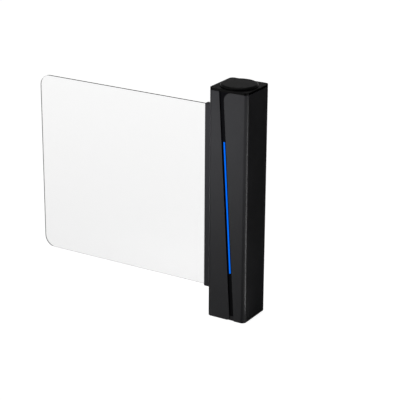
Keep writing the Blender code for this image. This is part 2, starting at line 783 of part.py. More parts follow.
def make_lid():
    """The square cap: it lies on the two covers, and a rim below keeps it in place."""
    top = POST_HEIGHT
    under = top - LID_THICKNESS
    rim_low = under - LID_RIM_DEPTH
    rim_half = HALF - LID_RIM_INSET
    cavity_half = rim_half - LID_RIM_WALL
    cavity_corner = LID_RIM_CORNER - LID_RIM_WALL
    slab = round_cornered_block("top_lid", HALF, under, top, POST_CORNER, LID_EDGE)
    lid = add_part("top_lid", slab, "lid_gloss")
    rim = round_cornered_block("lid_rim", rim_half, rim_low, under + LID_EDGE, LID_RIM_CORNER)
    cavity = round_cornered_block("lid_cavity", cavity_half, rim_low - CUT_OVERRUN, under, cavity_corner)
    neck_radius = READER_NECK_RADIUS + SEAT_GAP
    neck = rod("neck_hole", (0, 0, rim_low), (0, 0, top + CUT_OVERRUN), neck_radius, ROUND_SIDES)
    join(lid, add_cutter("lid_rim", rim))
    cut(lid, add_cutter("lid_cavity", cavity), add_cutter("neck_hole", neck))


# Card reader

def make_reader():
    """A low round pad with a soft shoulder, held by a ring nut under the lid."""
    foot = POST_HEIGHT + SEAT_GAP
    top = POST_HEIGHT + READER_HEIGHT
    shoulder = top - foot - READER_SKIRT
    side = READER_RADIUS - READER_TOP_RADIUS
    turns = [math.pi / 2 * step / CORNER_STEPS for step in range(CORNER_STEPS + 1)]
    round_edge = [
        (READER_TOP_RADIUS + side * math.sin(turn), top - shoulder * (1 - math.cos(turn)))
        for turn in turns
    ]
    lid_under = POST_HEIGHT - LID_THICKNESS
    neck_low = lid_under - READER_NECK_BELOW
    profile = [(0, top), *round_edge, (READER_RADIUS, foot), (READER_NECK_RADIUS, foot)]
    profile += [(READER_NECK_RADIUS, neck_low), (0, neck_low)]
    add_part("reader_disc", turned("reader_disc", profile), "reader_plastic")
    nut_high = lid_under - SEAT_GAP
    nut_low = nut_high - READER_NUT_THICKNESS
    nut = ring_profile(READER_NECK_RADIUS + SEAT_GAP, READER_NUT_RADIUS, nut_low, nut_high)
    add_part("reader_ring_nut", turned("reader_ring_nut", nut, ring=True), "drive_black")
    board_high = neck_low - SEAT_GAP
    board_low = board_high - BOARD_THICKNESS
    board = rod("reader_board", (0, 0, board_low), (0, 0, board_high), READER_BOARD_RADIUS)
    add_part("reader_board", board, "board_green")


# Light in the groove

def make_light():
    foot = BASE_TOP
    head = SHELL_TOP - SEAT_GAP
    cover_corner_x = right_cover_edge()[-1][0]
    wide_foot = SHELL_TOP - RIGHT_PANEL_CORNER - TRAY_MARGIN
    outline = [
        (groove_left_x(foot) - TRAY_MARGIN, foot),
        (groove_right_x(foot) + TRAY_MARGIN, foot),
        (groove_right_x(wide_foot) + TRAY_MARGIN, wide_foot),
        (cover_corner_x + TRAY_MARGIN, wide_foot),
        (cover_corner_x + TRAY_MARGIN, head),
        (groove_left_x(head) - TRAY_MARGIN, head),
    ]
    tray = add_part("light_tray", plate("light_tray", outline, -SEAT, TRAY_BACK_Y, "XZ"), "groove_black")
    opening = left_cover_edge()[:1] + [(groove_left_x(-CUT_OVERRUN), -CUT_OVERRUN)]
    opening += right_cover_edge()
    opening.append((cover_corner_x, SHELL_TOP + CUT_OVERRUN))
    pocket = plate("tray_pocket", opening, -HALF, GROOVE_FLOOR_Y, "XZ")
    slot_outline = slanted_strip(LIGHT_LOW - SEAT_GAP, LIGHT_HIGH + SEAT_GAP, LIGHT_WIDTH + 2 * SEAT_GAP)
    slot = plate("light_slot", slot_outline, -HALF, TRAY_BACK_Y + CUT_OVERRUN, "XZ")
    cut(tray, add_cutter("tray_pocket", pocket), add_cutter("light_slot", slot))
    strip = slanted_strip(LIGHT_LOW, LIGHT_HIGH, LIGHT_WIDTH)
    diffuser = plate("light_diffuser", strip, GROOVE_FLOOR_Y - LIGHT_PROUD, TRAY_BACK_Y, "XZ")
    add_part("light_diffuser", diffuser, "blue_light")
    board_low = LIGHT_LOW - LIGHT_BOARD_OVERHANG
    board_high = LIGHT_HIGH + LIGHT_BOARD_OVERHANG
    board_outline = slanted_strip(board_low, board_high, LIGHT_BOARD_WIDTH)
    board_front = TRAY_BACK_Y + SEAT_GAP
    board = plate("light_board", board_outline, board_front, board_front + BOARD_THICKNESS, "XZ")
    add_part("light_board", board, "board_green")


# Hinge brackets with their bushes and bolts

def make_bracket(name, low, high, bolt_holes):
    wall_x = -HALF - SEAT_GAP
    flange_x = wall_x - BRACKET_FLANGE_THICKNESS
    tongue = half_round(HINGE_X, BRACKET_RADIUS, flange_x)
    outline = [
        (wall_x, BRACKET_FLANGE_HALF_WIDTH),
        (flange_x, BRACKET_FLANGE_HALF_WIDTH),
        *tongue,
        (flange_x, -BRACKET_FLANGE_HALF_WIDTH),
        (wall_x, -BRACKET_FLANGE_HALF_WIDTH),
    ]
    bore = circle((HINGE_X, 0), BUSH_RADIUS + SEAT_GAP)
    bracket = add_part(name, plate(name, outline, low, high, holes=[bore]), "cast_aluminium")
    cut(bracket, *bolt_holes)


def make_bush(name, sleeve_from, sleeve_to, flange_outer):
    """A flanged bush: the flange carries the clamp, the sleeve fills the bracket's bore."""
    bore = SHAFT_RADIUS + RUNNING_GAP
    if flange_outer > sleeve_to:
        profile = [
            (bore, flange_outer),
            (BUSH_FLANGE_RADIUS, flange_outer),
            (BUSH_FLANGE_RADIUS, sleeve_to + SEAT_GAP),
            (BUSH_RADIUS, sleeve_to + SEAT_GAP),
            (BUSH_RADIUS, sleeve_from),
            (bore, sleeve_from),
        ]
    else:
        profile = [
            (bore, sleeve_to),
            (BUSH_RADIUS, sleeve_to),
            (BUSH_RADIUS, sleeve_from - SEAT_GAP),
            (BUSH_FLANGE_RADIUS, sleeve_from - SEAT_GAP),
            (BUSH_FLANGE_RADIUS, flange_outer),
            (bore, flange_outer),
        ]
    add_part(name, turned(name, profile, place=(HINGE_X, 0, 0), ring=True), "bronze")


def make_bracket_bolts():
    head_x = CHASSIS_INNER_X + SEAT_GAP
    tip_x = -HALF - BRACKET_BOLT_GRIP
    for number, (y, z) in enumerate(bracket_bolt_places(), start=1):
        name = f"bracket_bolt_{number}"
        shank = rod(name, (tip_x, y, z), (head_x + BRACKET_BOLT_RADIUS, y, z), BRACKET_BOLT_RADIUS)
        bolt = add_part(name, shank, "zinc_steel")
        head_end = (head_x + BRACKET_BOLT_HEAD_HEIGHT, y, z)
        head = rod("bolt_head", (head_x, y, z), head_end, BRACKET_BOLT_HEAD_RADIUS)
        join(bolt, add_cutter(f"{name}_head", head))


# Gears, guard and stops

def gear_outline(centre_x, teeth, phase):
    """Involute teeth with a little backlash, as points round the wheel."""
    pitch = GEAR_MODULE * teeth / 2
    base = pitch * math.cos(PRESSURE_ANGLE)
    tip = pitch + GEAR_MODULE
    root = pitch - DEDENDUM_SHARE * GEAR_MODULE
    involute = math.tan(PRESSURE_ANGLE) - PRESSURE_ANGLE
    half_tooth = math.pi / (2 * teeth) - GEAR_BACKLASH / (2 * pitch)
    flank = []
    for share in FLANK_SHARES:
        radius = base + (tip - base) * share
        lean = math.acos(min(1, base / radius))
        flank.append((radius, half_tooth + involute - (math.tan(lean) - lean)))
    flank.insert(0, (min(root, base), flank[0][1]))
    points = []
    for tooth in range(teeth):
        middle = phase + math.tau * tooth / teeth
        for radius, spread in flank:
            points.append((radius, middle - spread))
        for radius, spread in reversed(flank):
            points.append((radius, middle + spread))
    return [(centre_x + radius * math.cos(turn), radius * math.sin(turn)) for radius, turn in points]


def make_gears(barrier_axis, drive_axis):
    """Both gears lie in one plane; a tooth of the shaft gear points into a gap of the drive gear."""
    shaft_bore = circle((HINGE_X, 0), SHAFT_RADIUS + RUNNING_GAP)
    outline = gear_outline(HINGE_X, SHAFT_GEAR_TEETH, 0)
    shaft_gear = plate("shaft_gear", outline, GEAR_LOW, GEAR_TOP, holes=[shaft_bore])
    add_part("shaft_gear", shaft_gear, "bright_steel", barrier_axis)
    drive_bore = circle((DRIVE_X, 0), DRIVE_SHAFT_RADIUS + RUNNING_GAP, SMALL_SIDES)
    outline = gear_outline(DRIVE_X, DRIVE_GEAR_TEETH, math.pi + math.pi / DRIVE_GEAR_TEETH)
    drive_gear = plate("drive_gear", outline, GEAR_LOW, GEAR_TOP, holes=[drive_bore])
    add_part("drive_gear", drive_gear, "bright_steel", drive_axis)


def make_guard():
    """The cup that covers the shaft gear from outside, closed below and open to the post."""
    wall_x = -HALF - SEAT_GAP
    flange_x = wall_x - GUARD_WALL
    flange_half = SLOT_HALF_WIDTH + GUARD_FLANGE_LAP
    outline = [
        (wall_x, flange_half),
        (flange_x, flange_half),
        *half_round(HINGE_X, GUARD_INNER + GUARD_WALL, flange_x),
        (flange_x, -flange_half),
        (wall_x, -flange_half),
    ]
    guard = add_part("gear_guard", plate("gear_guard", outline, GUARD_LOW, GUARD_HIGH), "cast_aluminium")
    cup = half_round(HINGE_X, GUARD_INNER, wall_x + CUT_OVERRUN)
    hollow = plate("guard_hollow", cup, GUARD_FLOOR_TOP, GUARD_HIGH + CUT_OVERRUN)
    cut(guard, add_cutter("guard_hollow", hollow))


def make_stops(drive_axis):
    """A lever on the drive shaft meets a rubber buffer at each end of the swing."""
    hub = STOP_LEVER_HUB
    side = STOP_LEVER_WIDTH / 2
    reach = STOP_LEVER_LENGTH
    corners = [(-hub, -hub), (hub, -hub), (hub, -side), (reach, -side)]
    corners += [(reach, side), (hub, side), (hub, hub), (-hub, hub)]
    corners = [(DRIVE_X + x, y) for x, y in corners]
    outline = rounded(corners, [STOP_LEVER_CORNER] * len(corners), SMALL_CORNER_STEPS)
    bore = circle((DRIVE_X, 0), DRIVE_SHAFT_RADIUS + RUNNING_GAP, SMALL_SIDES)
    lever = plate("stop_lever", outline, STOP_LEVER_LOW, STOP_LEVER_HIGH, holes=[bore])
    add_part("stop_lever", lever, "bright_steel", drive_axis)
    contact = math.asin((STOP_BUFFER_RADIUS + side) / STOP_BUFFER_ORBIT)
    angle = STOP_SWING + contact + STOP_SLACK
    x = DRIVE_X + STOP_BUFFER_ORBIT * math.cos(angle)
    y = STOP_BUFFER_ORBIT * math.sin(angle)
    for name, across in (("stop_buffer_front", -y), ("stop_buffer_rear", y)):
        foot = (x, across, STOP_LEVER_LOW)
        head = (x, across, MOTOR_PLATE_LOW - SEAT_GAP)
        add_part(name, rod(name, foot, head, STOP_BUFFER_RADIUS), "gasket_rubber")


# Motor with its gearbox, brake and encoder, one above the other

def make_drive(drive_axis):
    reach_y = CHASSIS_HALF_DEPTH - CHASSIS_WALL - SEAT_GAP
    low = (CHASSIS_INNER_X + SEAT_GAP, -reach_y)
    high = (DRIVE_X + MOTOR_PLATE_REACH, reach_y)
    outline = rounded_rectangle(low, high, CHASSIS_BEND - CHASSIS_WALL, SMALL_CORNER_STEPS)
    shaft_hole = circle((DRIVE_X, 0), DRIVE_SHAFT_RADIUS + SEAT_GAP, SMALL_SIDES)
    motor_plate = plate("motor_plate", outline, MOTOR_PLATE_LOW, MOTOR_PLATE_HIGH, holes=[shaft_hole])
    add_part("motor_plate", motor_plate, "zinc_steel")
    centre = (DRIVE_X, 0, 0)
    bore = DRIVE_SHAFT_RADIUS + SEAT_GAP
    high = GEARBOX_LOW + GEARBOX_HEIGHT
    gearbox = [
        (0, high),
        (GEARBOX_RADIUS - DRUM_EDGE, high),
        (GEARBOX_RADIUS, high - DRUM_EDGE),
        (GEARBOX_RADIUS, GEARBOX_LOW),
        (bore, GEARBOX_LOW),
        (bore, GEARBOX_LOW + GEARBOX_BORE_DEPTH),
        (0, GEARBOX_LOW + GEARBOX_BORE_DEPTH),
    ]
    add_part("gearbox", turned("gearbox", gearbox, place=centre, sides=SMALL_SIDES), "bright_steel")
    drums = [
        ("motor", MOTOR_RADIUS, MOTOR_LOW, MOTOR_HEIGHT),
        ("brake", BRAKE_RADIUS, BRAKE_LOW, BRAKE_HEIGHT),
        ("encoder", ENCODER_RADIUS, ENCODER_LOW, ENCODER_HEIGHT),
    ]
    for name, radius, foot, height in drums:
        profile = drum_profile(radius, foot, foot + height, DRUM_EDGE)
        add_part(name, turned(name, profile, place=centre, sides=SMALL_SIDES), "drive_black")
    shaft_foot = (DRIVE_X, 0, SHAFT_LOW)
    shaft_head = (DRIVE_X, 0, GEARBOX_LOW + GEARBOX_BORE_DEPTH - SEAT_GAP)
    shaft = rod("drive_shaft", shaft_foot, shaft_head, DRIVE_SHAFT_RADIUS)
    add_part("drive_shaft", shaft, "bright_steel", drive_axis)


# Equipment on the chassis, facing the rear door

def equipment_box(name, size, foot, finish):
    width, depth, height = size
    low = (EQUIPMENT_X - width / 2, EQUIPMENT_BACK_Y, foot)
    high = (EQUIPMENT_X + width / 2, EQUIPMENT_BACK_Y + depth, foot + height)
    return rounded_box_part(name, low, high, EQUIPMENT_EDGE, finish)


def make_control_board():
    """A printed board on four standoffs, with its tall parts as one block."""
    width, depth, height = CONTROL_SIZE
    left = EQUIPMENT_X - width / 2
    right = EQUIPMENT_X + width / 2
    low = CONTROL_LOW
    high = CONTROL_LOW + height
    board_y = EQUIPMENT_BACK_Y + CONTROL_STANDOFF
    face_y = board_y + BOARD_THICKNESS
    inset = CONTROL_STANDOFF_INSET
    sheet = block("control_board", (left, board_y, low), (right, face_y, high))
    board = add_part("control_board", sheet, "board_green")
    corners = [(x, z) for x in (left + inset, right - inset) for z in (low + inset, high - inset)]
    for number, (x, z) in enumerate(corners, start=1):
        foot = (x, EQUIPMENT_BACK_Y, z)
        leg = rod("leg", foot, (x, face_y, z), CONTROL_STANDOFF_RADIUS, LEG_SIDES)
        join(board, add_cutter(f"board_leg_{number}", leg))
    chips_low = (left + 2 * inset, board_y + BOARD_THICKNESS / 2, low + 2 * inset)
    chips_high = (right - 2 * inset, EQUIPMENT_BACK_Y + depth, high - 2 * inset)
    join(board, add_cutter("board_chips", block("board_chips", chips_low, chips_high)))


def make_equipment():
    equipment_box("transformer", TRANSFORMER_SIZE, TRANSFORMER_LOW, "drive_black")
    equipment_box("terminal_block", TERMINALS_SIZE, TERMINALS_LOW, "terminal_grey")
    equipment_box("power_supply", SUPPLY_SIZE, SUPPLY_LOW, "bright_steel")
    make_control_board()


# Barrier: shaft, clamp and clear panel, all turning together

def make_shaft(barrier_axis):
    foot = (HINGE_X, 0, SHAFT_LOW)
    head = (HINGE_X, 0, SHAFT_HIGH)
    shaft = rod("hinge_shaft", foot, head, SHAFT_RADIUS, ROUND_SIDES)
    add_part("hinge_shaft", shaft, "bright_steel", barrier_axis)
    bore = SHAFT_RADIUS + RUNNING_GAP
    collar = ring_profile(bore, COLLAR_RADIUS, COLLAR_LOW, COLLAR_LOW + COLLAR_HEIGHT)
    mesh = turned("shaft_collar", collar, place=(HINGE_X, 0, 0), ring=True)
    add_part("shaft_collar", mesh, "zinc_steel", barrier_axis)


def jaw_screw_heights():
    first = CLAMP_LOW + JAW_SCREW_END_MARGIN
    span = CLAMP_HIGH - JAW_SCREW_END_MARGIN - first
    return [first + span * number / (JAW_SCREW_COUNT - 1) for number in range(JAW_SCREW_COUNT)]


def screw_profile(clearance):
    """A countersunk socket screw from its flush head at height zero down to its tip."""
    head = JAW_SCREW_HEAD_RADIUS + clearance
    shank = JAW_SCREW_RADIUS + clearance
    under_head = -JAW_SCREW_HEAD_HEIGHT - clearance
    tip = -JAW_SCREW_HEAD_HEIGHT - JAW_SCREW_GRIP - clearance
    return [(0, 0), (head, 0), (head, under_head), (shank, under_head), (shank, tip), (0, tip)]


def make_clamp(barrier_axis):
    front = -CLAMP_THICKNESS / 2
    rear = CLAMP_THICKNESS / 2
    low = CLAMP_LOW + CLAMP_CAP_THICKNESS + SEAT_GAP
    high = CLAMP_HIGH - CLAMP_CAP_THICKNESS - SEAT_GAP
    seat = POCKET_HALF - SEAT_GAP
    body_outline = rounded(
        [
            (CLAMP_OUTER_X, front),
            (CLAMP_INNER_X, front),
            (CLAMP_INNER_X, rear),
            (JAW_INNER_X, rear),
            (JAW_INNER_X, seat),
            (POCKET_FLOOR_X, seat),
            (POCKET_FLOOR_X, -POCKET_HALF),
            (CLAMP_OUTER_X, -POCKET_HALF),
        ],
        [0, CLAMP_CORNER, CLAMP_CORNER, 0, 0, 0, 0, 0],
        SMALL_CORNER_STEPS,
    )
    bore = circle((HINGE_X, 0), SHAFT_RADIUS + RUNNING_GAP)
    bar = plate("clamp_body", body_outline, low, high, holes=[bore])
    body = add_part("clamp_body", bar, "clamp_coat", barrier_axis)
    jaw_low = (CLAMP_OUTER_X, POCKET_HALF, low)
    jaw_high = (JAW_INNER_X - SEAT_GAP, rear, high)
    jaw = add_part("clamp_jaw", block("clamp_jaw", jaw_low, jaw_high), "clamp_coat", barrier_axis)
    screw_x = (POCKET_FLOOR_X + JAW_INNER_X) / 2
    for number, z in enumerate(jaw_screw_heights(), start=1):
        name = f"jaw_screw_{number}"
        place = (screw_x, rear - SEAT_GAP, z)
        screw = turned(name, screw_profile(0), place, along_y=True, sides=SCREW_SIDES)
        add_part(name, screw, "bright_steel", barrier_axis)
        place = (screw_x, rear + SEAT_GAP, z)
        hole = turned("jaw_hole", screw_profile(2 * SEAT_GAP), place, along_y=True, sides=SCREW_SIDES)
        screw_hole = add_cutter(f"jaw_hole_{number}", hole)
        cut(jaw, screw_hole)
        cut(body, screw_hole)
    cap_outline = rounded_rectangle(
        (CLAMP_OUTER_X, front), (CLAMP_INNER_X, rear), CLAMP_CORNER / 2, SMALL_CORNER_STEPS
    )
    upper_foot = CLAMP_HIGH - CLAMP_CAP_THICKNESS
    for name, foot in (("clamp_cap_lower", CLAMP_LOW), ("clamp_cap_upper", upper_foot)):
        cap = plate(name, cap_outline, foot, foot + CLAMP_CAP_THICKNESS, holes=[bore])
        add_part(name, cap, "clamp_coat", barrier_axis)


def make_panel(barrier_axis):
    """The clear panel stands in the clamp's pocket between two gaskets."""
    inner_x = POCKET_FLOOR_X - SEAT_GAP
    corners = [
        (inner_x, PANEL_LOW),
        (inner_x, PANEL_HIGH),
        (-PANEL_REACH, PANEL_HIGH),
        (-PANEL_REACH, PANEL_LOW),
    ]
    outline = rounded(corners, [0, 0, PANEL_CORNER, PANEL_CORNER])
    panel = plate("clear_panel", outline, -PANEL_THICKNESS / 2, PANEL_THICKNESS / 2, "XZ")
    add_part("clear_panel", shade_round(panel), "clear_acrylic", barrier_axis)
    near = PANEL_THICKNESS / 2 + SEAT_GAP
    far = near + GASKET_THICKNESS
    for name, low_y, high_y in (("gasket_front", -far, -near), ("gasket_rear", near, far)):
        strip = block(name, (CLAMP_OUTER_X, low_y, PANEL_LOW), (inner_x, high_y, PANEL_HIGH))
        add_part(name, strip, "gasket_rubber", barrier_axis)


# Rear door

def make_door(door_axis):
    """A sheet door: its hinge edge is rolled about the pins, so that it turns clear of the cover."""
    tail = HALF - DOOR_ROLL - DOOR_ROLL_TAIL
    corners = [
        (DOOR_HALF_WIDTH, tail),
        (DOOR_HALF_WIDTH, HALF),
        (-DOOR_HALF_WIDTH, HALF),
        (-DOOR_HALF_WIDTH, HALF - DOOR_RETURN),
    ]
    path = rounded(corners, [0, DOOR_ROLL, DOOR_RETURN_BEND, 0], closed=False)
    mesh = folded_sheet("rear_door", path, DOOR_WALL, DOOR_LOW, DOOR_HIGH)
    door = add_part("rear_door", mesh, "graphite_coat", door_axis)
    lower_lug_top = LOWER_PIN_TOP - DOOR_PIN_PAST_LUG
    upper_lug_low = UPPER_PIN_LOW + DOOR_PIN_PAST_LUG
    for side, foot in (("lower", lower_lug_top - DOOR_LUG_HEIGHT), ("upper", upper_lug_low)):
        start = (DOOR_AXIS_X, DOOR_AXIS_Y, foot)
        end = (DOOR_AXIS_X, DOOR_AXIS_Y, foot + DOOR_LUG_HEIGHT)
        join(door, add_cutter(f"door_lug_{side}", rod("door_lug", start, end, DOOR_LUG_RADIUS)))
    for side, foot, head in (
        ("lower", DOOR_LOW - CUT_OVERRUN, LOWER_PIN_TOP + CUT_OVERRUN),
        ("upper", UPPER_PIN_LOW - CUT_OVERRUN, DOOR_HIGH + CUT_OVERRUN),
    ):
        start = (DOOR_AXIS_X, DOOR_AXIS_Y, foot)
        end = (DOOR_AXIS_X, DOOR_AXIS_Y, head)
        bore = rod("pin_hole", start, end, DOOR_PIN_RADIUS + RUNNING_GAP)
        cut(door, add_cutter(f"door_pin_hole_{side}", bore))
    hole = rod(
        "lock_hole",
        (LOCK_X, HALF - DOOR_WALL - CUT_OVERRUN, LOCK_HEIGHT),
        (LOCK_X, HALF + CUT_OVERRUN, LOCK_HEIGHT),
        LOCK_RADIUS + SEAT_GAP,
    )
    cut(door, add_cutter("lock_hole", hole))


def make_door_pins():
    lower = rod(
        "door_pin_lower",
        (DOOR_AXIS_X, DOOR_AXIS_Y, BASE_TOP),
        (DOOR_AXIS_X, DOOR_AXIS_Y, LOWER_PIN_TOP),
        DOOR_PIN_RADIUS,
    )
    add_part("door_pin_lower", lower, "bright_steel")
    upper = rod(
        "door_pin_upper",
        (DOOR_AXIS_X, DOOR_AXIS_Y, UPPER_PIN_LOW),
        (DOOR_AXIS_X, DOOR_AXIS_Y, SHELL_TOP),
        DOOR_PIN_RADIUS,
    )
    add_part("door_pin_upper", upper, "bright_steel")


def make_lock(door_axis, lock_axis):
    """A cam lock: a sleeve and nut fixed in the door, and a plug that turns the cam behind it."""
    place = (LOCK_X, 0, LOCK_HEIGHT)
    bezel_back = HALF + SEAT_GAP
    bore = LOCK_PLUG_RADIUS + RUNNING_GAP
    sleeve = [
        (bore, LOCK_FRONT_Y),
        (LOCK_BEZEL_RADIUS, LOCK_FRONT_Y),
        (LOCK_BEZEL_RADIUS, bezel_back),
        (LOCK_RADIUS, bezel_back),
        (LOCK_RADIUS, LOCK_HOUSING_END_Y),
        (bore, LOCK_HOUSING_END_Y),
    ]
    mesh = turned("lock_housing", sleeve, place=place, along_y=True, ring=True, sides=SMALL_SIDES)
    add_part("lock_housing", mesh, "bright_steel", door_axis)
    nut_front = LOCK_NUT_BACK_Y - LOCK_NUT_THICKNESS
    nut = ring_profile(LOCK_RADIUS + RUNNING_GAP, LOCK_NUT_RADIUS, nut_front, LOCK_NUT_BACK_Y)
    mesh = turned("lock_nut", nut, place=place, along_y=True, ring=True, sides=SMALL_SIDES)
    add_part("lock_nut", mesh, "zinc_steel", door_axis)
    tang_end = LOCK_CAM_BACK_Y - LOCK_CAM_THICKNESS
    plug_profile = [
        (0, LOCK_FRONT_Y),
        (LOCK_PLUG_RADIUS, LOCK_FRONT_Y),
        (LOCK_PLUG_RADIUS, LOCK_HOUSING_END_Y),
        (LOCK_TANG_RADIUS, LOCK_HOUSING_END_Y),
        (LOCK_TANG_RADIUS, tang_end),
        (0, tang_end),
    ]
    mesh = turned("lock_plug", plug_profile, place=place, along_y=True, sides=SMALL_SIDES)
    plug = add_part("lock_plug", mesh, "bright_steel", lock_axis)
    across = LOCK_KEYWAY_WIDTH / 2
    tall = LOCK_KEYWAY_HEIGHT / 2
    low = (LOCK_X - across, LOCK_FRONT_Y - LOCK_KEYWAY_DEPTH, LOCK_HEIGHT - tall)
    high = (LOCK_X + across, LOCK_FRONT_Y + CUT_OVERRUN, LOCK_HEIGHT + tall)
    cut(plug, add_cutter("keyway", block("keyway", low, high)))
    side = LOCK_CAM_WIDTH / 2
    corners = [
        (LOCK_X - side, LOCK_HEIGHT + side),
        (LOCK_X - side, LOCK_HEIGHT - LOCK_CAM_LENGTH),
        (LOCK_X + side, LOCK_HEIGHT - LOCK_CAM_LENGTH),
        (LOCK_X + side, LOCK_HEIGHT + side),
    ]
    outline = rounded(corners, [side / 2] * len(corners), SMALL_CORNER_STEPS)
    tang_hole = circle((LOCK_X, LOCK_HEIGHT), LOCK_TANG_RADIUS + RUNNING_GAP, SMALL_SIDES)
    cam = plate("lock_cam", outline, tang_end, LOCK_CAM_BACK_Y, "XZ", holes=[tang_hole])
    add_part("lock_cam", cam, "zinc_steel", lock_axis)


def make_gate():
    barrier_axis = add_axis("barrier_axis", (HINGE_X, 0, 0))
    drive_axis = add_axis("drive_axis", (DRIVE_X, 0, 0))
    door_axis = add_axis("door_axis", (DOOR_AXIS_X, DOOR_AXIS_Y, 0))
    lock_axis = add_axis("lock_axis", (LOCK_X, 0, LOCK_HEIGHT))
    bolt_holes = make_bracket_bolt_holes()
    gear_slot = make_gear_slot()
    make_base()
    make_anchor_bolts()
    make_chassis(bolt_holes, gear_slot)
    make_left_shell(bolt_holes, gear_slot)
    make_right_shell()
    make_lid()
    make_reader()
    make_light()
    make_bracket("lower_bracket", LOWER_BRACKET_LOW, LOWER_BRACKET_TOP, bolt_holes[:2])
    make_bracket("upper_bracket", UPPER_BRACKET_LOW, UPPER_BRACKET_TOP, bolt_holes[2:])
    make_bush("lower_bush", LOWER_BRACKET_LOW, LOWER_BRACKET_TOP, CLAMP_LOW - THRUST_GAP)
    make_bush("upper_bush", UPPER_BRACKET_LOW, UPPER_BRACKET_TOP, CLAMP_HIGH + THRUST_GAP)
    make_bracket_bolts()
    make_gears(barrier_axis, drive_axis)
    make_guard()
    make_stops(drive_axis)
    make_drive(drive_axis)
    make_equipment()
    make_shaft(barrier_axis)
    make_clamp(barrier_axis)
    make_panel(barrier_axis)
    make_door(door_axis)
    make_door_pins()
    make_lock(door_axis, lock_axis)


make_gate()
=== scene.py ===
# %% [markdown]
# # A swing gate with a lit groove
# The gate is a square steel post beside a walkway. One clear panel hangs on an upright shaft and swings
# out of the way when a card is held over the round pad on the lid.
# The mechanical model comes from a CAD frame in metres: the post stands at the origin, its front faces -Y
# and the panel points to -X. This lesson gives the frame its visible surface, one piece at a time.

# %% Load the frame
import json
import math

import bmesh
import bpy
from mathutils import Matrix, Vector


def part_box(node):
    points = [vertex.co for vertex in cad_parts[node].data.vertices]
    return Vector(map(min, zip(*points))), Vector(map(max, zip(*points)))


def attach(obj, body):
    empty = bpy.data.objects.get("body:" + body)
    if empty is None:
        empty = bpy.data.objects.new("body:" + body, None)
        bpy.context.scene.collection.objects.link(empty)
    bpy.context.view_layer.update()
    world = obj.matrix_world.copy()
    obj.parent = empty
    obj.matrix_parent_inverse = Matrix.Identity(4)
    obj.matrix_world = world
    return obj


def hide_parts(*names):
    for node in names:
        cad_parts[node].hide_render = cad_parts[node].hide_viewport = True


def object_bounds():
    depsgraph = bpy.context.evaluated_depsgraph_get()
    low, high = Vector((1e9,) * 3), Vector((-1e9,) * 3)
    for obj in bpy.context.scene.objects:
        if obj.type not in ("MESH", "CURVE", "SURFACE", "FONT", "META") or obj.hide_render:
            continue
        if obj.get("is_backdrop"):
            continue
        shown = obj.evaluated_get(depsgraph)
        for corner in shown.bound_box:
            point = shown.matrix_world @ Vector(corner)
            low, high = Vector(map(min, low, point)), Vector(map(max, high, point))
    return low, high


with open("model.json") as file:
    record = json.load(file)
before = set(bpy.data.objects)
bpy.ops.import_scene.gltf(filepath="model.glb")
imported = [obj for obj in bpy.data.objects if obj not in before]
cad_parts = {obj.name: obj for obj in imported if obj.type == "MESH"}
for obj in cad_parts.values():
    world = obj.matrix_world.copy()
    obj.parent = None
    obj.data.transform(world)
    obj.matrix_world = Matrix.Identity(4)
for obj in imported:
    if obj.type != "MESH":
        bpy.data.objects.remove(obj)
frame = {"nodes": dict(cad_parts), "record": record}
slots = {row["node"]: row["material_slot"] for row in frame["record"]["subparts"]}
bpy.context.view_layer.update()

# %% [markdown]
# ## Camera
# The photograph was taken from the front right and a little above, with a long lens from six metres,
# which keeps the upright edges almost parallel. The camera's turn is its three axes and a slight roll.

# %% Camera
CAMERA_AZIMUTH = math.radians(31.309)
CAMERA_ELEVATION = math.radians(20.21)
CAMERA_ROLL = math.radians(0.306)
CAMERA_DISTANCE = 6.271
CAMERA_AIM = Vector((0, 0, 0.5))
CAMERA_SLIDE = -0.155647
CAMERA_RISE = 0.005986
LENS = 136.337
SENSOR = 36.0
sideways = math.sin(CAMERA_AZIMUTH)
frontal = math.cos(CAMERA_AZIMUTH)
flat = math.cos(CAMERA_ELEVATION)
right = Vector((frontal, sideways, 0))
back = Vector((sideways * flat, -frontal * flat, math.sin(CAMERA_ELEVATION)))
up = back.cross(right)
camera = bpy.data.objects.new("camera", bpy.data.cameras.new("camera"))
camera.data.lens = LENS
camera.data.sensor_width = SENSOR
turn = Matrix((right, up, back)).transposed().to_4x4() @ Matrix.Rotation(CAMERA_ROLL, 4, "Z")
place = CAMERA_AIM + back * CAMERA_DISTANCE + right * CAMERA_SLIDE + up * CAMERA_RISE
camera.matrix_world = Matrix.Translation(place) @ turn
bpy.context.scene.collection.objects.link(camera)
bpy.context.scene.camera = camera
bpy.context.scene.view_settings.view_transform = "Standard"
print("camera at", [round(value, 3) for value in camera.location])

# %% [markdown]
# ## Small helpers for materials
# Every finish starts from the Principled shader, whose fixed values are set on its own sockets.
# Fine texture comes from noise that reads Object coordinates: they are metres here, so a scale of 1000
# gives grain of about a millimetre, on every piece alike. Most finishes have two colours and a gloss that
# vary in broad patches, and a fine texture for their relief, so one function makes them all.

# %% Material helpers
RELIEF_DEPTH = 0.00004
EVEN = (1, 1, 1)
finishes = {}


def fill(node, **inputs):
    """Sets a node's inputs by name. An output is linked, and anything else is a value."""
    for name, value in inputs.items():
        socket = node.inputs[name.replace("_", " ")]
        if isinstance(value, bpy.types.NodeSocket):
            node.id_data.links.new(value, socket)
        else:
            socket.default_value = value


def add_node(tree, kind, **inputs):
    node = tree.nodes.new(f"ShaderNode{kind}")
    fill(node, **inputs)
    return node


def new_finish(name, colour, roughness=0.5, metallic=0.0, specular=0.5):
    """Makes a material and gives its nodes and its shader."""
    material = bpy.data.materials.new(name)
    material.use_nodes = True
    shader = material.node_tree.nodes["Principled BSDF"]
    fill(shader, Base_Color=(*colour, 1), Roughness=roughness)
    fill(shader, Metallic=metallic, Specular_IOR_Level=specular)
    finishes[name] = material
    return material.node_tree, shader


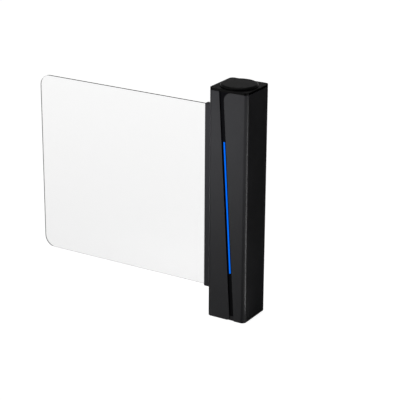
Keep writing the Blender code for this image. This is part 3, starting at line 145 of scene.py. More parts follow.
def metres(tree):
    return add_node(tree, "TexCoord").outputs["Object"]


def grain(tree, scale, detail, stretch=EVEN):
    """Noise on the piece. A stretch below 1 draws the grain out along that axis."""
    place = add_node(tree, "Mapping", Vector=metres(tree), Scale=stretch).outputs["Vector"]
    return add_node(tree, "TexNoise", Vector=place, Scale=scale, Detail=detail).outputs["Fac"]


def spread(tree, factor, low, high, start=0.0, end=1.0):
    """Turns a factor that runs from start to end into one that runs from low to high."""
    limits = {"From_Min": start, "From_Max": end, "To_Min": low, "To_Max": high}
    return add_node(tree, "MapRange", Value=factor, **limits).outputs["Result"]


def tint(tree, factor, first, second):
    """Mixes two colours by a factor."""
    node = add_node(tree, "Mix", Factor=factor)
    node.data_type = "RGBA"
    colours = [socket for socket in node.inputs if socket.type == "RGBA"]
    colours[0].default_value = (*first, 1)
    colours[1].default_value = (*second, 1)
    return [socket for socket in node.outputs if socket.type == "RGBA"][0]


def relief(tree, height, strength):
    """Bump of a real depth, in metres."""
    return add_node(tree, "Bump", Height=height, Strength=strength, Distance=RELIEF_DEPTH).outputs["Normal"]


def textured(name, dark, light, roughness, recipe, **gloss):
    """A recipe holds the noise of the patches, that of the texture, a swing of gloss and a relief."""
    patches, texture, swing, strength = recipe
    tree, shader = new_finish(name, light, roughness, **gloss)
    broad = grain(tree, *patches)
    fill(shader, Base_Color=tint(tree, broad, dark, light))
    fill(shader, Roughness=spread(tree, broad, roughness - swing, roughness + swing))
    fill(shader, Normal=relief(tree, grain(tree, *texture), strength))


print("material helpers are ready")

# %% [markdown]
# ## Painted covers
# The covers are powder-coated steel. Powder coat melts in an oven and leaves a fine orange peel, with a
# soft, even gloss. One noise makes the peel, a second, broad one varies the gloss as handling does.

# %% Powder coat and the dark gloss of the lid
HANDLING = (9, 4)
PEEL = (1300, 2)
COAT = (HANDLING, PEEL, 0.05, 0.25)
# Each coat has a dark and a light colour, a roughness and a specular level
COATS = {
    "graphite_coat": ((0.038, 0.038, 0.041), (0.044, 0.044, 0.047), 0.34, 0.1),
    "clamp_coat": ((0.038, 0.038, 0.042), (0.044, 0.044, 0.048), 0.36, 0.1),
    "cast_aluminium": ((0.036, 0.036, 0.039), (0.046, 0.046, 0.050), 0.45, 0.12),
    "lid_gloss": ((0.003, 0.003, 0.003), (0.005, 0.005, 0.005), 0.2, 0.05),
    "groove_black": ((0.003, 0.003, 0.004), (0.005, 0.005, 0.006), 0.5, 0.03),
    "drive_steel": ((0.022, 0.022, 0.023), (0.034, 0.034, 0.036), 0.45, 0.1),
}
for name, (*look, specular) in COATS.items():
    textured(name, *look, COAT, specular=specular)
print("coats:", ", ".join(COATS))

# %% [markdown]
# ## Bare metals
# Machined steel keeps the fine lines of the tool, so its noise is stretched along one axis. Zinc plate
# has a mottled spangle instead, and bronze is warmer and a little softer.

# %% Metals
LINES = (900, 3)
SPANGLE = (60, 3)
METAL_SWING = 0.05
METAL_RELIEF = 0.1
# Each metal has a dark and a light colour, a roughness, a noise and its stretch
METALS = {
    "bright_steel": ((0.58, 0.58, 0.58), (0.65, 0.65, 0.65), 0.3, LINES, (1, 1, 0.03)),
    "zinc_steel": ((0.38, 0.39, 0.40), (0.52, 0.53, 0.54), 0.38, SPANGLE, EVEN),
    "bronze": ((0.44, 0.28, 0.12), (0.60, 0.40, 0.19), 0.33, LINES, (1, 1, 0.1)),
    "supply_case": ((0.52, 0.52, 0.53), (0.66, 0.66, 0.67), 0.35, LINES, (0.05, 1, 1)),
}
for name, (*look, noise, stretch) in METALS.items():
    drawn = (*noise, stretch)
    textured(name, *look, (drawn, drawn, METAL_SWING, METAL_RELIEF), metallic=1.0)
print("metals:", ", ".join(METALS))

# %% [markdown]
# ## Plastics, rubber and circuit board
# The reader's pad is moulded in black with a very fine texture. The board's green lacquer shows its
# copper tracks as slightly lighter, straight-edged patches, which a brick pattern gives.

# %% Plastics, rubber and board
MOULDED = ((9, 3), (2200, 1), 0.04, 0.2)
# The mouldings have the same columns as the coats
MOULDINGS = {
    "reader_plastic": ((0.006, 0.006, 0.006), (0.009, 0.009, 0.009), 0.3, 0.05),
    "drive_black": ((0.022, 0.022, 0.023), (0.034, 0.034, 0.036), 0.5, 0.4),
    "gasket_rubber": ((0.009, 0.009, 0.009), (0.015, 0.015, 0.015), 0.8, 0.2),
    "terminal_grey": ((0.30, 0.31, 0.32), (0.38, 0.39, 0.40), 0.55, 0.4),
}
for name, (*look, specular) in MOULDINGS.items():
    textured(name, *look, MOULDED, specular=specular)

BOARD_COLOURS = ((0.014, 0.09, 0.036), (0.026, 0.15, 0.063))
TRACK_SCALE = 90.0
TRACK_GAP = 0.06
TRACK_RELIEF = 0.4
board, shader = new_finish("board_green", BOARD_COLOURS[1], roughness=0.4)
bricks = add_node(board, "TexBrick", Vector=metres(board), Scale=TRACK_SCALE, Mortar_Size=TRACK_GAP)
tracks = bricks.outputs["Fac"]
fill(shader, Base_Color=tint(board, tracks, *BOARD_COLOURS), Normal=relief(board, tracks, TRACK_RELIEF))
print("finishes so far:", len(finishes))

# %% [markdown]
# ## The blue light
# Behind the strip sits a row of small lamps. A milky light guide spreads them, so the glow is almost
# even: a slow wave along the strip keeps a hint of the single lamps.

# %% Light guide
GUIDE_COLOUR = (0.0, 0.01, 0.06)
LIGHT_COLOUR = (0.0, 0.152, 0.93)
LIGHT_LEVELS = (0.98, 1.04)
LAMP_SPACING_SCALE = 190
light, shader = new_finish("blue_light", GUIDE_COLOUR, roughness=0.4, specular=0.02)
lamps = add_node(light, "TexWave", Vector=metres(light), Scale=LAMP_SPACING_SCALE)
lamps.bands_direction = "Z"
glow = spread(light, lamps.outputs["Fac"], *LIGHT_LEVELS)
fill(shader, Emission_Color=(*LIGHT_COLOUR, 1), Emission_Strength=glow)
print("light guide glows in", LIGHT_COLOUR)

# %% [markdown]
# ## Clear sheet
# The panel is acrylic, a little less dense than glass. It needs full transmission and almost no
# roughness. A faint, broad waviness in the gloss keeps it from looking computed. Its colour is a little
# darker towards the foot, which is painted shade. Where its rim is ground it is satin, and its dark
# colour there is painted shade, so that part gets a finish of its own.

# %% Clear acrylic
ACRYLIC_IOR = 1.49
HEAD_TINT = (0.94, 0.94, 0.94)
# The colour darkens towards the foot: painted shade.
FOOT_TINT_PAINTED_SHADE = (0.825, 0.825, 0.825)
SMUDGE_ROUGHNESS = 0.02
DEPTH_COLOUR = (0.5, 0.5, 0.5, 1)
DEPTH_DENSITY = 4.0
clear, shader = new_finish("clear_acrylic", HEAD_TINT, roughness=0.0)
height = add_node(clear, "SeparateXYZ", Vector=metres(clear)).outputs["Z"]
fill(shader, Transmission_Weight=1.0, IOR=ACRYLIC_IOR)
# The colour runs from the painted shade at the foot up to the tint at the head.
fill(shader, Base_Color=tint(clear, height, FOOT_TINT_PAINTED_SHADE, HEAD_TINT))
fill(shader, Roughness=spread(clear, grain(clear, *HANDLING), 0.0, SMUDGE_ROUGHNESS))
absorb = add_node(clear, "VolumeAbsorption", Color=DEPTH_COLOUR, Density=DEPTH_DENSITY)
fill(clear.nodes["Material Output"], Volume=absorb.outputs["Volume"])

GRINDING = (1500, 2)
GROUND = (GRINDING, GRINDING, 0.0, 0.3)
# The ground rim's dark colours are painted shade; its satin gloss and grinding relief are its own.
GROUND_PAINTED_SHADE_COLOURS = ((0.02, 0.02, 0.02), (0.05, 0.05, 0.05))
textured("ground_edge_painted_shade", *GROUND_PAINTED_SHADE_COLOURS, roughness=0.5, recipe=GROUND, specular=0.1)
print("acrylic and its ground rim are ready")

# %% [markdown]
# ## Shaping helpers
# Flat pieces start as one face that is drawn out into a solid. Round pieces are a profile that is spun.
# Real edges are never quite sharp, so almost every piece gets its edges softened before it is finished.

# %% Shaping helpers
X, Y, Z = range(3)
SHARP = math.radians(40)
MERGE = 0.00001
FINE_EDGE = 0.0003
THIN_EDGE = 0.0005
PLATE_EDGE = 0.0006
BROAD_EDGE = 0.001
ROUND_STEPS = 64
CORNER_STEPS = 12


def merge(shape):
    bmesh.ops.remove_doubles(shape, verts=shape.verts, dist=MERGE)


def face_outwards(shape):
    bmesh.ops.recalc_face_normals(shape, faces=shape.faces)


def only(items, kind):
    return [item for item in items if isinstance(item, kind)]


def edges_where(shape, test):
    """The edges whose two ends both pass the test."""
    return [edge for edge in shape.edges if all(test(vert.co) for vert in edge.verts)]


def flat_face(shape, points):
    return shape.faces.new([shape.verts.new(point) for point in points])


def bevel(shape, items, width, steps, affect="EDGES", clamp=True):
    bmesh.ops.bevel(
        shape,
        geom=items,
        offset=width,
        segments=steps,
        profile=0.5,
        affect=affect,
        material=-1,
        clamp_overlap=clamp,
    )


def rounded_face(points, numbers, radius, steps=CORNER_STEPS):
    """A flat face, some of whose corners are rounded, by their numbers."""
    shape = bmesh.new()
    face = flat_face(shape, points)
    bevel(shape, [face.verts[number] for number in numbers], radius, steps, "VERTICES")
    return shape


def soften(shape, width, steps=3):
    """Rounds every sharp edge of a closed shape."""
    merge(shape)
    face_outwards(shape)
    sharp = [edge for edge in shape.edges if edge.is_manifold and edge.calc_face_angle() > SHARP]
    bevel(shape, sharp, width, steps)


def draw_out(shape, along):
    """Draws a flat shape out into a solid."""
    grown = bmesh.ops.extrude_face_region(shape, geom=list(shape.faces))["geom"]
    bmesh.ops.translate(shape, vec=along, verts=only(grown, bmesh.types.BMVert))


def draw_edges(shape, edges, along):
    """Draws a strip of faces from edges and gives its far edges."""
    grown = bmesh.ops.extrude_edge_only(shape, edges=edges)["geom"]
    moved = only(grown, bmesh.types.BMVert)
    bmesh.ops.translate(shape, vec=along, verts=moved)
    return [edge for edge in only(grown, bmesh.types.BMEdge) if set(moved).issuperset(edge.verts)]


def spin_profile(shape, profile, place=(0, 0, 0), upright=True, closed=False, steps=ROUND_STEPS):
    """Spins (radius, height) points round an upright axis, or round one along Y."""
    axis = Vector((0, 0, 1) if upright else (0, 1, 0))
    points = [Vector((radius, 0, 0)) + axis * height for radius, height in profile]
    verts = [shape.verts.new(Vector(place) + point) for point in points]
    pairs = list(zip(verts, verts[1:]))
    if closed:
        pairs.append((verts[-1], verts[0]))
    bmesh.ops.spin(
        shape,
        geom=verts + [shape.edges.new(pair) for pair in pairs],
        cent=place,
        axis=axis,
        angle=math.tau,
        steps=steps,
        use_merge=True,
    )
    merge(shape)


def add_box(shape, low, high):
    made = bmesh.ops.create_cube(shape, size=1)["verts"]
    bmesh.ops.scale(shape, vec=Vector(high) - Vector(low), verts=made)
    bmesh.ops.translate(shape, vec=(Vector(low) + Vector(high)) / 2, verts=made)


def soft_box(low, high, edge, steps=3):
    """A cuboid whose edges are all rounded a little."""
    shape = bmesh.new()
    add_box(shape, low, high)
    soften(shape, edge, steps)
    return shape


def upright_bar(low, high, radius):
    """A cuboid whose four upright edges are well rounded."""
    shape = bmesh.new()
    add_box(shape, low, high)
    upright = [edge for edge in shape.edges if abs(edge.verts[0].co.z - edge.verts[1].co.z) > MERGE]
    bevel(shape, upright, radius, CORNER_STEPS, clamp=False)
    return shape


def middle_of(node):
    low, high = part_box(node)
    return (low + high) / 2


def to_object(name, shape, material):
    face_outwards(shape)
    mesh = bpy.data.meshes.new(name)
    shape.to_mesh(mesh)
    shape.free()
    mesh.materials.append(material)
    piece = bpy.data.objects.new(name, mesh)
    bpy.context.scene.collection.objects.link(piece)
    return piece


def even_shading(piece):
    """Large flat faces keep their own normal beside small rounded ones."""
    piece.modifiers.new("even shading", "WEIGHTED_NORMAL").keep_sharp = True


def finished(name, shape, node, body="post", finish=None, even=True):
    """Makes a piece that rides on its body and stands for its node. It has that node's finish or another."""
    finish = finish or slots[node]
    merge(shape)
    piece = to_object(name, shape, finishes[finish])
    piece.data.shade_smooth()
    piece.data.set_sharp_from_angle(angle=SHARP)
    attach(piece, body)
    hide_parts(node)
    if even:
        even_shading(piece)
    print(f"{name}: {len(piece.data.polygons)} faces on {body}")
    return piece


print("shaping helpers are ready")

# %% [markdown]
# ## Sizes shared by the post
# The post's outer sizes are read from the frame. The groove leans from near the right edge at the foot
# to left of the middle at the head. Its two sides are the edges of the two covers.

# %% Post sizes
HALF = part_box("right_shell")[1].x
COVER_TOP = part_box("left_shell")[1].z
SEAT_GAP = 0.0003
POST_CORNER = 0.018
STRAIGHT = HALF - POST_CORNER
GROOVE_FOOT = 0.0195
GROOVE_HEAD = -0.0419
GROOVE_WIDTH = 0.0205
POST_HEIGHT = 1.0


def groove_left(height):
    return GROOVE_FOOT + (GROOVE_HEAD - GROOVE_FOOT) * height / POST_HEIGHT


groove_foot = groove_left(0)
groove_head = groove_left(COVER_TOP)
print(f"groove from x {groove_foot:.4f} at the foot to {groove_head:.4f} at the head")

# %% [markdown]
# ## Covers
# Each cover is one sheet, folded round two corners of the post. The flat front is a single face with one
# rounded corner. Its straight edge is then spun round the post's corner, drawn along the side, spun
# again and drawn to the rear door. A Solidify gives the sheet its wall, and a Bevel its fine edges.

# %% Right cover
COVER_WALL = 0.004
DOOR_EDGE = 0.0635
LEFT_FOOT_CORNER = 0.014
RIGHT_HEAD_CORNER = 0.037


def sheet_piece(name, shape, node, wall, edge, body="post"):
    """Finishes an open sheet: thickens it inwards and softens its edges."""
    piece = finished(name, shape, node, body, even=False)
    thicken = piece.modifiers.new("wall", "SOLIDIFY")
    thicken.thickness = wall
    thicken.offset = -1
    thicken.use_even_offset = True
    ease = piece.modifiers.new("edges", "BEVEL")
    ease.width = edge
    ease.segments = 2
    ease.limit_method = "ANGLE"
    ease.angle_limit = SHARP
    even_shading(piece)


def upright_edge(shape, x):
    """The edges that stand at x on the front face."""
    return edges_where(shape, lambda point: abs(point.x - x) < MERGE)


def spin_edges(shape, edges, centre, angle, steps):
    """Spins edges round an upright axis and gives the last ones."""
    made = bmesh.ops.spin(
        shape,
        geom=list({vert for edge in edges for vert in edge.verts}) + edges,
        cent=centre,
        axis=(0, 0, 1),
        angle=angle,
        steps=steps,
    )
    return only(made["geom_last"], bmesh.types.BMEdge)


def cover_sheet(corners, number, radius, side):
    """The front, whose numbered corner is rounded, carried round the side and on to the door."""
    shape = rounded_face([(x, -HALF, z) for x, z in corners], [number], radius)
    along_side = (0, 2 * STRAIGHT, 0)
    along_back = (side * (DOOR_EDGE - STRAIGHT), 0, 0)
    edges = upright_edge(shape, side * STRAIGHT)
    for centre_y, run in ((-STRAIGHT, along_side), (STRAIGHT, along_back)):
        centre = (side * STRAIGHT, centre_y, 0)
        edges = draw_edges(shape, spin_edges(shape, edges, centre, side * math.pi / 2, CORNER_STEPS), run)
    return shape


corners = [(groove_foot + GROOVE_WIDTH, 0), (STRAIGHT, 0)]
corners += [(STRAIGHT, COVER_TOP), (groove_head + GROOVE_WIDTH, COVER_TOP)]
shape = cover_sheet(corners, 3, RIGHT_HEAD_CORNER, 1)
sheet_piece("right_cover", shape, "right_shell", COVER_WALL, PLATE_EDGE)

# %% [markdown]
# The left cover is made the same way. Its side also has the window through which the gear on the shaft
# meets the gear inside: the side face is split along the window's four sides and the middle is removed.

# %% Left cover with its gear window
WINDOW_MARGIN = 0.0008
GUARD_LAP = 0.003
gear_low, gear_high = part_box("drive_gear")
window_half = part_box("gear_guard")[1].y - GUARD_LAP
window_low = gear_low.z - WINDOW_MARGIN
window_high = gear_high.z + WINDOW_MARGIN


def faces_at(shape, axis, limit):
    """The faces that lie flat in the plane where the axis has the given value."""
    return [face for face in shape.faces if all(abs(vert.co[axis] - limit) < MERGE for vert in face.verts)]


def cut_faces(shape, axis, limit, across, places):
    """Cuts the faces of one plane along straight lines."""
    for place in places:
        faces = faces_at(shape, axis, limit)
        geometry = {item for face in faces for item in (face, *face.edges, *face.verts)}
        normal = Vector((0, 0, 0))
        normal[across] = 1
        bmesh.ops.bisect_plane(shape, geom=list(geometry), plane_co=normal * place, plane_no=normal)


corners = [(-STRAIGHT, 0), (groove_foot, 0), (groove_head, COVER_TOP), (-STRAIGHT, COVER_TOP)]
shape = cover_sheet(corners, 1, LEFT_FOOT_CORNER, -1)
cut_faces(shape, X, -HALF, Y, (-window_half, window_half))
cut_faces(shape, X, -HALF, Z, (window_low, window_high))
inside = []
for face in faces_at(shape, X, -HALF):
    middle = face.calc_center_median()
    if abs(middle.y) < window_half and window_low < middle.z < window_high:
        inside.append(face)
bmesh.ops.delete(shape, geom=inside, context="FACES")
sheet_piece("left_cover", shape, "left_shell", COVER_WALL, PLATE_EDGE)

# %% [markdown]
# ## Lid
# The lid is a solid slab with the same round corners as the covers and a small round along its top edge.
# That round catches the light as a thin bright line, so it has more steps.

# %% Lid
LID_TOP_EDGE = 0.0009
lid_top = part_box("top_lid")[1].z
lid_under = COVER_TOP + SEAT_GAP
shape = upright_bar((-HALF, -HALF, lid_under), (HALF, HALF, lid_top), POST_CORNER)
rim = edges_where(shape, lambda point: point.z > lid_top - MERGE)
bevel(shape, rim, LID_TOP_EDGE, 4, clamp=False)
rim = edges_where(shape, lambda point: point.z < lid_under + MERGE)
bevel(shape, rim, PLATE_EDGE, 2, clamp=False)
finished("lid", shape, "top_lid")

# %% [markdown]
# ## Reader pad
# A card is laid on a round pad. It stands a few millimetres above the lid, and its shoulder falls in a
# quarter round. The pad is a turned shape, so its profile is spun: the points run from the middle of the
# top, over the shoulder and down to the neck that goes through the lid.

# %% Reader pad
PAD_RADIUS = 0.078
PAD_TOP_RADIUS = 0.070
PAD_SKIRT = 0.002
PAD_LIP = 0.0006
NECK_RADIUS = 0.030
SHOULDER_STEPS = 12
PAD_STEPS = 96
pad_low, pad_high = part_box("reader_disc")
pad_foot = lid_top + SEAT_GAP
shoulder_height = pad_high.z - pad_foot - PAD_SKIRT
profile = [(0, pad_high.z)]
for step in range(SHOULDER_STEPS + 1):
    angle = math.pi / 2 * step / SHOULDER_STEPS
    radius = PAD_TOP_RADIUS + (PAD_RADIUS - PAD_TOP_RADIUS) * math.sin(angle)
    profile.append((radius, pad_high.z - shoulder_height * (1 - math.cos(angle))))
profile += [(PAD_RADIUS, pad_foot + PAD_LIP), (PAD_RADIUS - PAD_LIP, pad_foot)]
profile += [(NECK_RADIUS, pad_foot), (NECK_RADIUS, pad_low.z), (0, pad_low.z)]
shape = bmesh.new()
spin_profile(shape, profile, steps=PAD_STEPS)
finished("reader_pad", shape, "reader_disc")

# %% [markdown]
# ## Light strip
# The light guide is a long bar that leans with the groove and stands just proud of its floor. It is one
# slanted face, drawn back through the tray, with its long edges rounded. A black mask covers the rounds
# and the sides, so that only the flat face glows and the line of light has crisp edges.

# %% Light strip
LIGHT_WIDTH = 0.009
FLAT_FRONT = 0.99
low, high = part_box("light_diffuser")
margin = (GROOVE_WIDTH - LIGHT_WIDTH) / 2
foot = groove_left(low.z) + margin
head = groove_left(high.z) + margin
corners = [(foot, low.z), (foot + LIGHT_WIDTH, low.z), (head + LIGHT_WIDTH, high.z), (head, high.z)]
shape = bmesh.new()
flat_face(shape, [(x, low.y, z) for x, z in corners])
draw_out(shape, (0, high.y - low.y, 0))
soften(shape, BROAD_EDGE)
for face in shape.faces:
    face.material_index = int(face.normal.y > -FLAT_FRONT)
strip = finished("light_strip", shape, "light_diffuser")
strip.data.materials.append(finishes["groove_black"])

# %% [markdown]
# ## Clamp
# The clear panel is held along one edge by a bar and a jaw, with a rubber strip on either side of it.
# The bar's outline has a pocket for the panel, and a bore for the shaft that it turns with. An outline
# with a hole is filled between their edges and then drawn up from the lower cap to the upper one.

# %% Clamp bar
HINGE_X = middle_of("hinge_shaft").x
HINGE = (HINGE_X, 0, 0)
SHAFT_CLEAR = 0.00815
CLAMP_CORNER = 0.003
CLAMP_CORNER_STEPS = 4
POCKET_DEPTH = 0.028
POCKET_HALF = 0.0061
JAW_LAP = 0.006
BORE_STEPS = 48


def ring_of(shape, radius, steps, place):
    """A circle of edges about the Z axis, laid down by the matrix."""
    made = bmesh.ops.create_circle(shape, segments=steps, radius=radius)["verts"]
    bmesh.ops.transform(shape, matrix=place, verts=made)
    return list({edge for vert in made for edge in vert.link_edges})


def bored_bar(node, outline, numbers, radius, steps, bore, edge):
    """An upright bar with rounded corners, by their numbers, and a bore on the hinge's axis."""
    low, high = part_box(node)
    shape = rounded_face([(x, y, low.z) for x, y in outline], numbers, radius, steps)
    bmesh.ops.delete(shape, geom=list(shape.faces), context="FACES_ONLY")
    merge(shape)
    ring_of(shape, bore, BORE_STEPS, Matrix.Translation((HINGE_X, 0, low.z)))
    bmesh.ops.triangle_fill(shape, use_beauty=True, edges=list(shape.edges))
    draw_out(shape, (0, 0, high.z - low.z))
    soften(shape, edge)
    return shape


low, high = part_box("clamp_body")
pocket_floor = low.x + POCKET_DEPTH
jaw_inner = pocket_floor + JAW_LAP
seat = POCKET_HALF - SEAT_GAP
outline = [(low.x, low.y), (high.x, low.y), (high.x, high.y), (jaw_inner, high.y), (jaw_inner, seat)]
outline += [(pocket_floor, seat), (pocket_floor, -POCKET_HALF), (low.x, -POCKET_HALF)]
shape = bored_bar("clamp_body", outline, (1, 2), CLAMP_CORNER, CLAMP_CORNER_STEPS, SHAFT_CLEAR, PLATE_EDGE)
finished("clamp_bar", shape, "clamp_body", "barrier")

# %% [markdown]
# The jaw has five holes for its screws. Its face is filled between the outline and their circles, then
# drawn out.

# %% Clamp jaw with its screw holes
JAW_SCREWS = [f"jaw_screw_{number}" for number in range(1, 6)]
SCREW_HEAD_RADIUS = 0.0042
SCREW_HOLE_RADIUS = 0.0047
HOLE_STEPS = 32


def loop_of(shape, points):
    """A closed loop of edges through some points."""
    verts = [shape.verts.new(point) for point in points]
    return [shape.edges.new(pair) for pair in zip(verts, verts[1:] + verts[:1])]


def fill_with_holes(shape, low, high, y, rings):
    """Fills a rectangle, between two corners of the plane at y, around rings of edges."""
    points = [(low.x, y, low.z), (high.x, y, low.z), (high.x, y, high.z), (low.x, y, high.z)]
    bmesh.ops.triangle_fill(shape, use_beauty=True, edges=loop_of(shape, points) + rings)


def facing_back(x, y, z):
    """The place of something whose axis lies along Y."""
    return Matrix.Translation((x, y, z)) @ Matrix.Rotation(-math.pi / 2, 4, "X")


low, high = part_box("clamp_jaw")
shape = bmesh.new()
rings = []
for node in JAW_SCREWS:
    centre = middle_of(node)
    rings += ring_of(shape, SCREW_HOLE_RADIUS, HOLE_STEPS, facing_back(centre.x, low.y, centre.z))
fill_with_holes(shape, low, high, low.y, rings)
draw_out(shape, (0, high.y - low.y, 0))
soften(shape, PLATE_EDGE, 2)
finished("clamp_jaw_plate", shape, "clamp_jaw", "barrier")

# %% [markdown]
# ## Socket screws
# A socket screw has a round head with a hexagonal recess. The ring between the circle and the hexagon is
# filled, the hexagon is drawn down into the recess and the circle down the side of the head.

# %% Socket screws in the jaw
SCREW_KEY = 0.0025
SCREW_HEAD_HEIGHT = 0.004


def recessed_head(shape, radius, height, recess, depth, place):
    """A round head about Z, whose recess has the given outline, laid down by the matrix."""
    circle = ring_of(shape, radius, HOLE_STEPS, place)
    loop = loop_of(shape, [place @ Vector((x, y, 0)) for x, y in recess])
    bmesh.ops.triangle_fill(shape, use_beauty=True, edges=circle + loop)
    for edges, drop in ((loop, depth), (circle, height)):
        along = place.to_3x3() @ Vector((0, 0, -drop))
        bmesh.ops.contextual_create(shape, geom=draw_edges(shape, edges, along))


def hexagon(across):
    """Corner points of a hexagon by its width across the flats."""
    reach = across / math.sqrt(3)
    turns = [math.pi / 3 * step for step in range(6)]
    return [(reach * math.cos(angle), reach * math.sin(angle)) for angle in turns]


def rectangle(half_width, half_height):
    signs = ((-1, -1), (1, -1), (1, 1), (-1, 1))
    return [(half_width * across, half_height * along) for across, along in signs]


for node in JAW_SCREWS:
    centre = middle_of(node)
    place = facing_back(centre.x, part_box(node)[1].y, centre.z)
    shape = bmesh.new()
    recessed_head(shape, SCREW_HEAD_RADIUS, SCREW_HEAD_HEIGHT, hexagon(SCREW_KEY), SCREW_KEY, place)
    soften(shape, FINE_EDGE, 2)
    finished(f"{node}_head", shape, node, "barrier", even=False)

# %% [markdown]
# Two thin caps close the clamp's ends, and the rubber strips lie between the clamp and the panel. All
# are plain bars.

# %% Clamp caps and rubber strips
CAP_EDGE = 0.0008
for node in ("clamp_cap_lower", "clamp_cap_upper"):
    finished(f"{node}_plate", soft_box(*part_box(node), CAP_EDGE), node, "barrier")
for node in ("gasket_front", "gasket_rear"):
    finished(f"{node}_strip", soft_box(*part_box(node), THIN_EDGE, 2), node, "barrier")

# %% [markdown]
# ## Clear panel
# The panel is one sheet with large round corners at its free end. Its top, its free end and the corner
# below that are ground, and their dark colour is painted shade. The rest of its rim is polished, which
# leaves a very small round.

# %% Clear panel
PANEL_CORNER = 0.050
PANEL_CORNER_STEPS = 24
RIM_LIMIT = 0.8
FOOT_CORNER_LIMIT = 0.25
low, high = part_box("clear_panel")
corners = [(high.x, low.z), (high.x, high.z), (low.x, high.z), (low.x, low.z)]
shape = rounded_face([(x, low.y, z) for x, z in corners], (2, 3), PANEL_CORNER, PANEL_CORNER_STEPS)
draw_out(shape, (0, high.y - low.y, 0))
soften(shape, PLATE_EDGE)
# Faces of the ground top, free end and foot corner take the second finish, whose dark colour is painted
# shade.
for face in shape.faces:
    if abs(face.normal.y) > FLAT_FRONT:
        continue
    across, along = Vector((face.normal.x, face.normal.z)).normalized()
    top_or_end = along > RIM_LIMIT or across < -RIM_LIMIT
    foot_corner = along < 0 and across < -FOOT_CORNER_LIMIT
    face.material_index = int(top_or_end or foot_corner)
sheet = finished("clear_sheet", shape, "clear_panel", "barrier")
# The second finish is the ground rim, whose dark colour is painted shade.
sheet.data.materials.append(finishes["ground_edge_painted_shade"])

# %% [markdown]
# ## Hinge brackets
# Each bracket is a cast tongue that holds a bronze bush. Its outline is a flange with a tongue in front,
# whose end is a half circle round the bore. Castings have generous edges, so they are softened more.

# %% Hinge brackets
BRACKET_RADIUS = 0.020
BRACKET_STEPS = 16
BRACKET_FLANGE = 0.006
BRACKET_EDGE = 0.0015
BORE_RADIUS = 0.0109
for side in ("lower", "upper"):
    node = f"{side}_bracket"
    low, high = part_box(node)
    flange_x = high.x - BRACKET_FLANGE
    outline = [(high.x, low.y), (high.x, high.y), (flange_x, high.y), (flange_x, BRACKET_RADIUS)]
    outline += [(low.x, BRACKET_RADIUS), (low.x, -BRACKET_RADIUS)]
    outline += [(flange_x, -BRACKET_RADIUS), (flange_x, low.y)]
    shape = bored_bar(node, outline, (4, 5), BRACKET_RADIUS, BRACKET_STEPS, BORE_RADIUS, BRACKET_EDGE)
    finished(f"{side}_hinge_casting", shape, node)

# %% [markdown]
# ## Bushes, shaft and collar
# A bush is a sleeve with a flange that carries the clamp. The shaft runs through both bushes, and a
# collar keeps it from dropping. All of them are turned.

# %% Bushes, shaft and collar
SHAFT_RADIUS = 0.008
SLEEVE_RADIUS = 0.01055
FLANGE_RADIUS = 0.014
TURNED_EDGE = 0.0004


def turned_piece(name, profile, node, body="post", finish=None, place=HINGE, edge=TURNED_EDGE, **how):
    shape = bmesh.new()
    spin_profile(shape, profile, place, **how)
    soften(shape, edge, 2)
    finished(name, shape, node, body, finish)


def stepped_ring(bore, end, radius, step, flange_radius, flange_end):
    """A sleeve from its end to the step, and a flange from there on."""
    sleeve = [(bore, end), (radius, end), (radius, step)]
    return [*sleeve, (flange_radius, step), (flange_radius, flange_end), (bore, flange_end)]


# Each bush has the end of the bracket, 0 for its foot or 1 for its head, that its flange lies on
for side, end, gap in (("lower", 1, SEAT_GAP), ("upper", 0, -SEAT_GAP)):
    heights = [corner.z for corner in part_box(f"{side}_bush")]
    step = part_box(f"{side}_bracket")[end].z + gap
    profile = stepped_ring(SHAFT_CLEAR, heights[1 - end], SLEEVE_RADIUS, step, FLANGE_RADIUS, heights[end])
    turned_piece(f"{side}_bearing", profile, f"{side}_bush", closed=True)
for name, node, bore, radius in (
    ("barrier_shaft", "hinge_shaft", 0, SHAFT_RADIUS),
    ("collar_ring", "shaft_collar", SHAFT_CLEAR, FLANGE_RADIUS),
):
    low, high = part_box(node)
    profile = [(bore, high.z), (radius, high.z), (radius, low.z), (bore, low.z)]
    turned_piece(name, profile, node, "barrier", edge=BROAD_EDGE, closed=bore > 0)

# %% [markdown]
# ## Gear guard
# The lowest cup keeps fingers and dirt out of the gears. Its floor is a face with a half-round end, and
# its wall is drawn up from that face's edge, all but the side that stands open to the post.

# %% Gear guard
GUARD_WALL = 0.0015
GUARD_STEPS = 20
low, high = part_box("gear_guard")
half = HINGE_X - low.x
outline = [(high.x, -half), (high.x, half), (low.x, half), (low.x, -half)]
shape = rounded_face([(x, y, low.z) for x, y in outline], (2, 3), half, GUARD_STEPS)
merge(shape)
open_side = upright_edge(shape, high.x)
rim = [edge for edge in shape.edges if edge not in open_side]
draw_edges(shape, rim, (0, 0, high.z - low.z))
sheet_piece("gear_cup", shape, "gear_guard", GUARD_WALL, THIN_EDGE)

# %% [markdown]
# ## Rear door
# The service door is one sheet. Its hinge edge is rolled a quarter round towards the pins, so that it
# turns without touching the cover, and its free edge has a short return that stiffens it.

# %% Rear door
DOOR_WALL = 0.003
DOOR_ROLL = 0.007
DOOR_ROLL_TAIL = 0.002
DOOR_RETURN = 0.006
DOOR_RETURN_BEND = 0.0035
FOLD_STEPS = 8
LOCK_HOLE_RADIUS = 0.0098
low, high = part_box("rear_door")
lock = middle_of("lock_housing")
back = high.y
roll_x = high.x - DOOR_ROLL
bend_x = low.x + DOOR_RETURN_BEND
shape = bmesh.new()
hole = ring_of(shape, LOCK_HOLE_RADIUS, HOLE_STEPS, facing_back(lock.x, back, lock.z))
fill_with_holes(shape, Vector((bend_x, 0, low.z)), Vector((roll_x, 0, high.z)), back, hole)
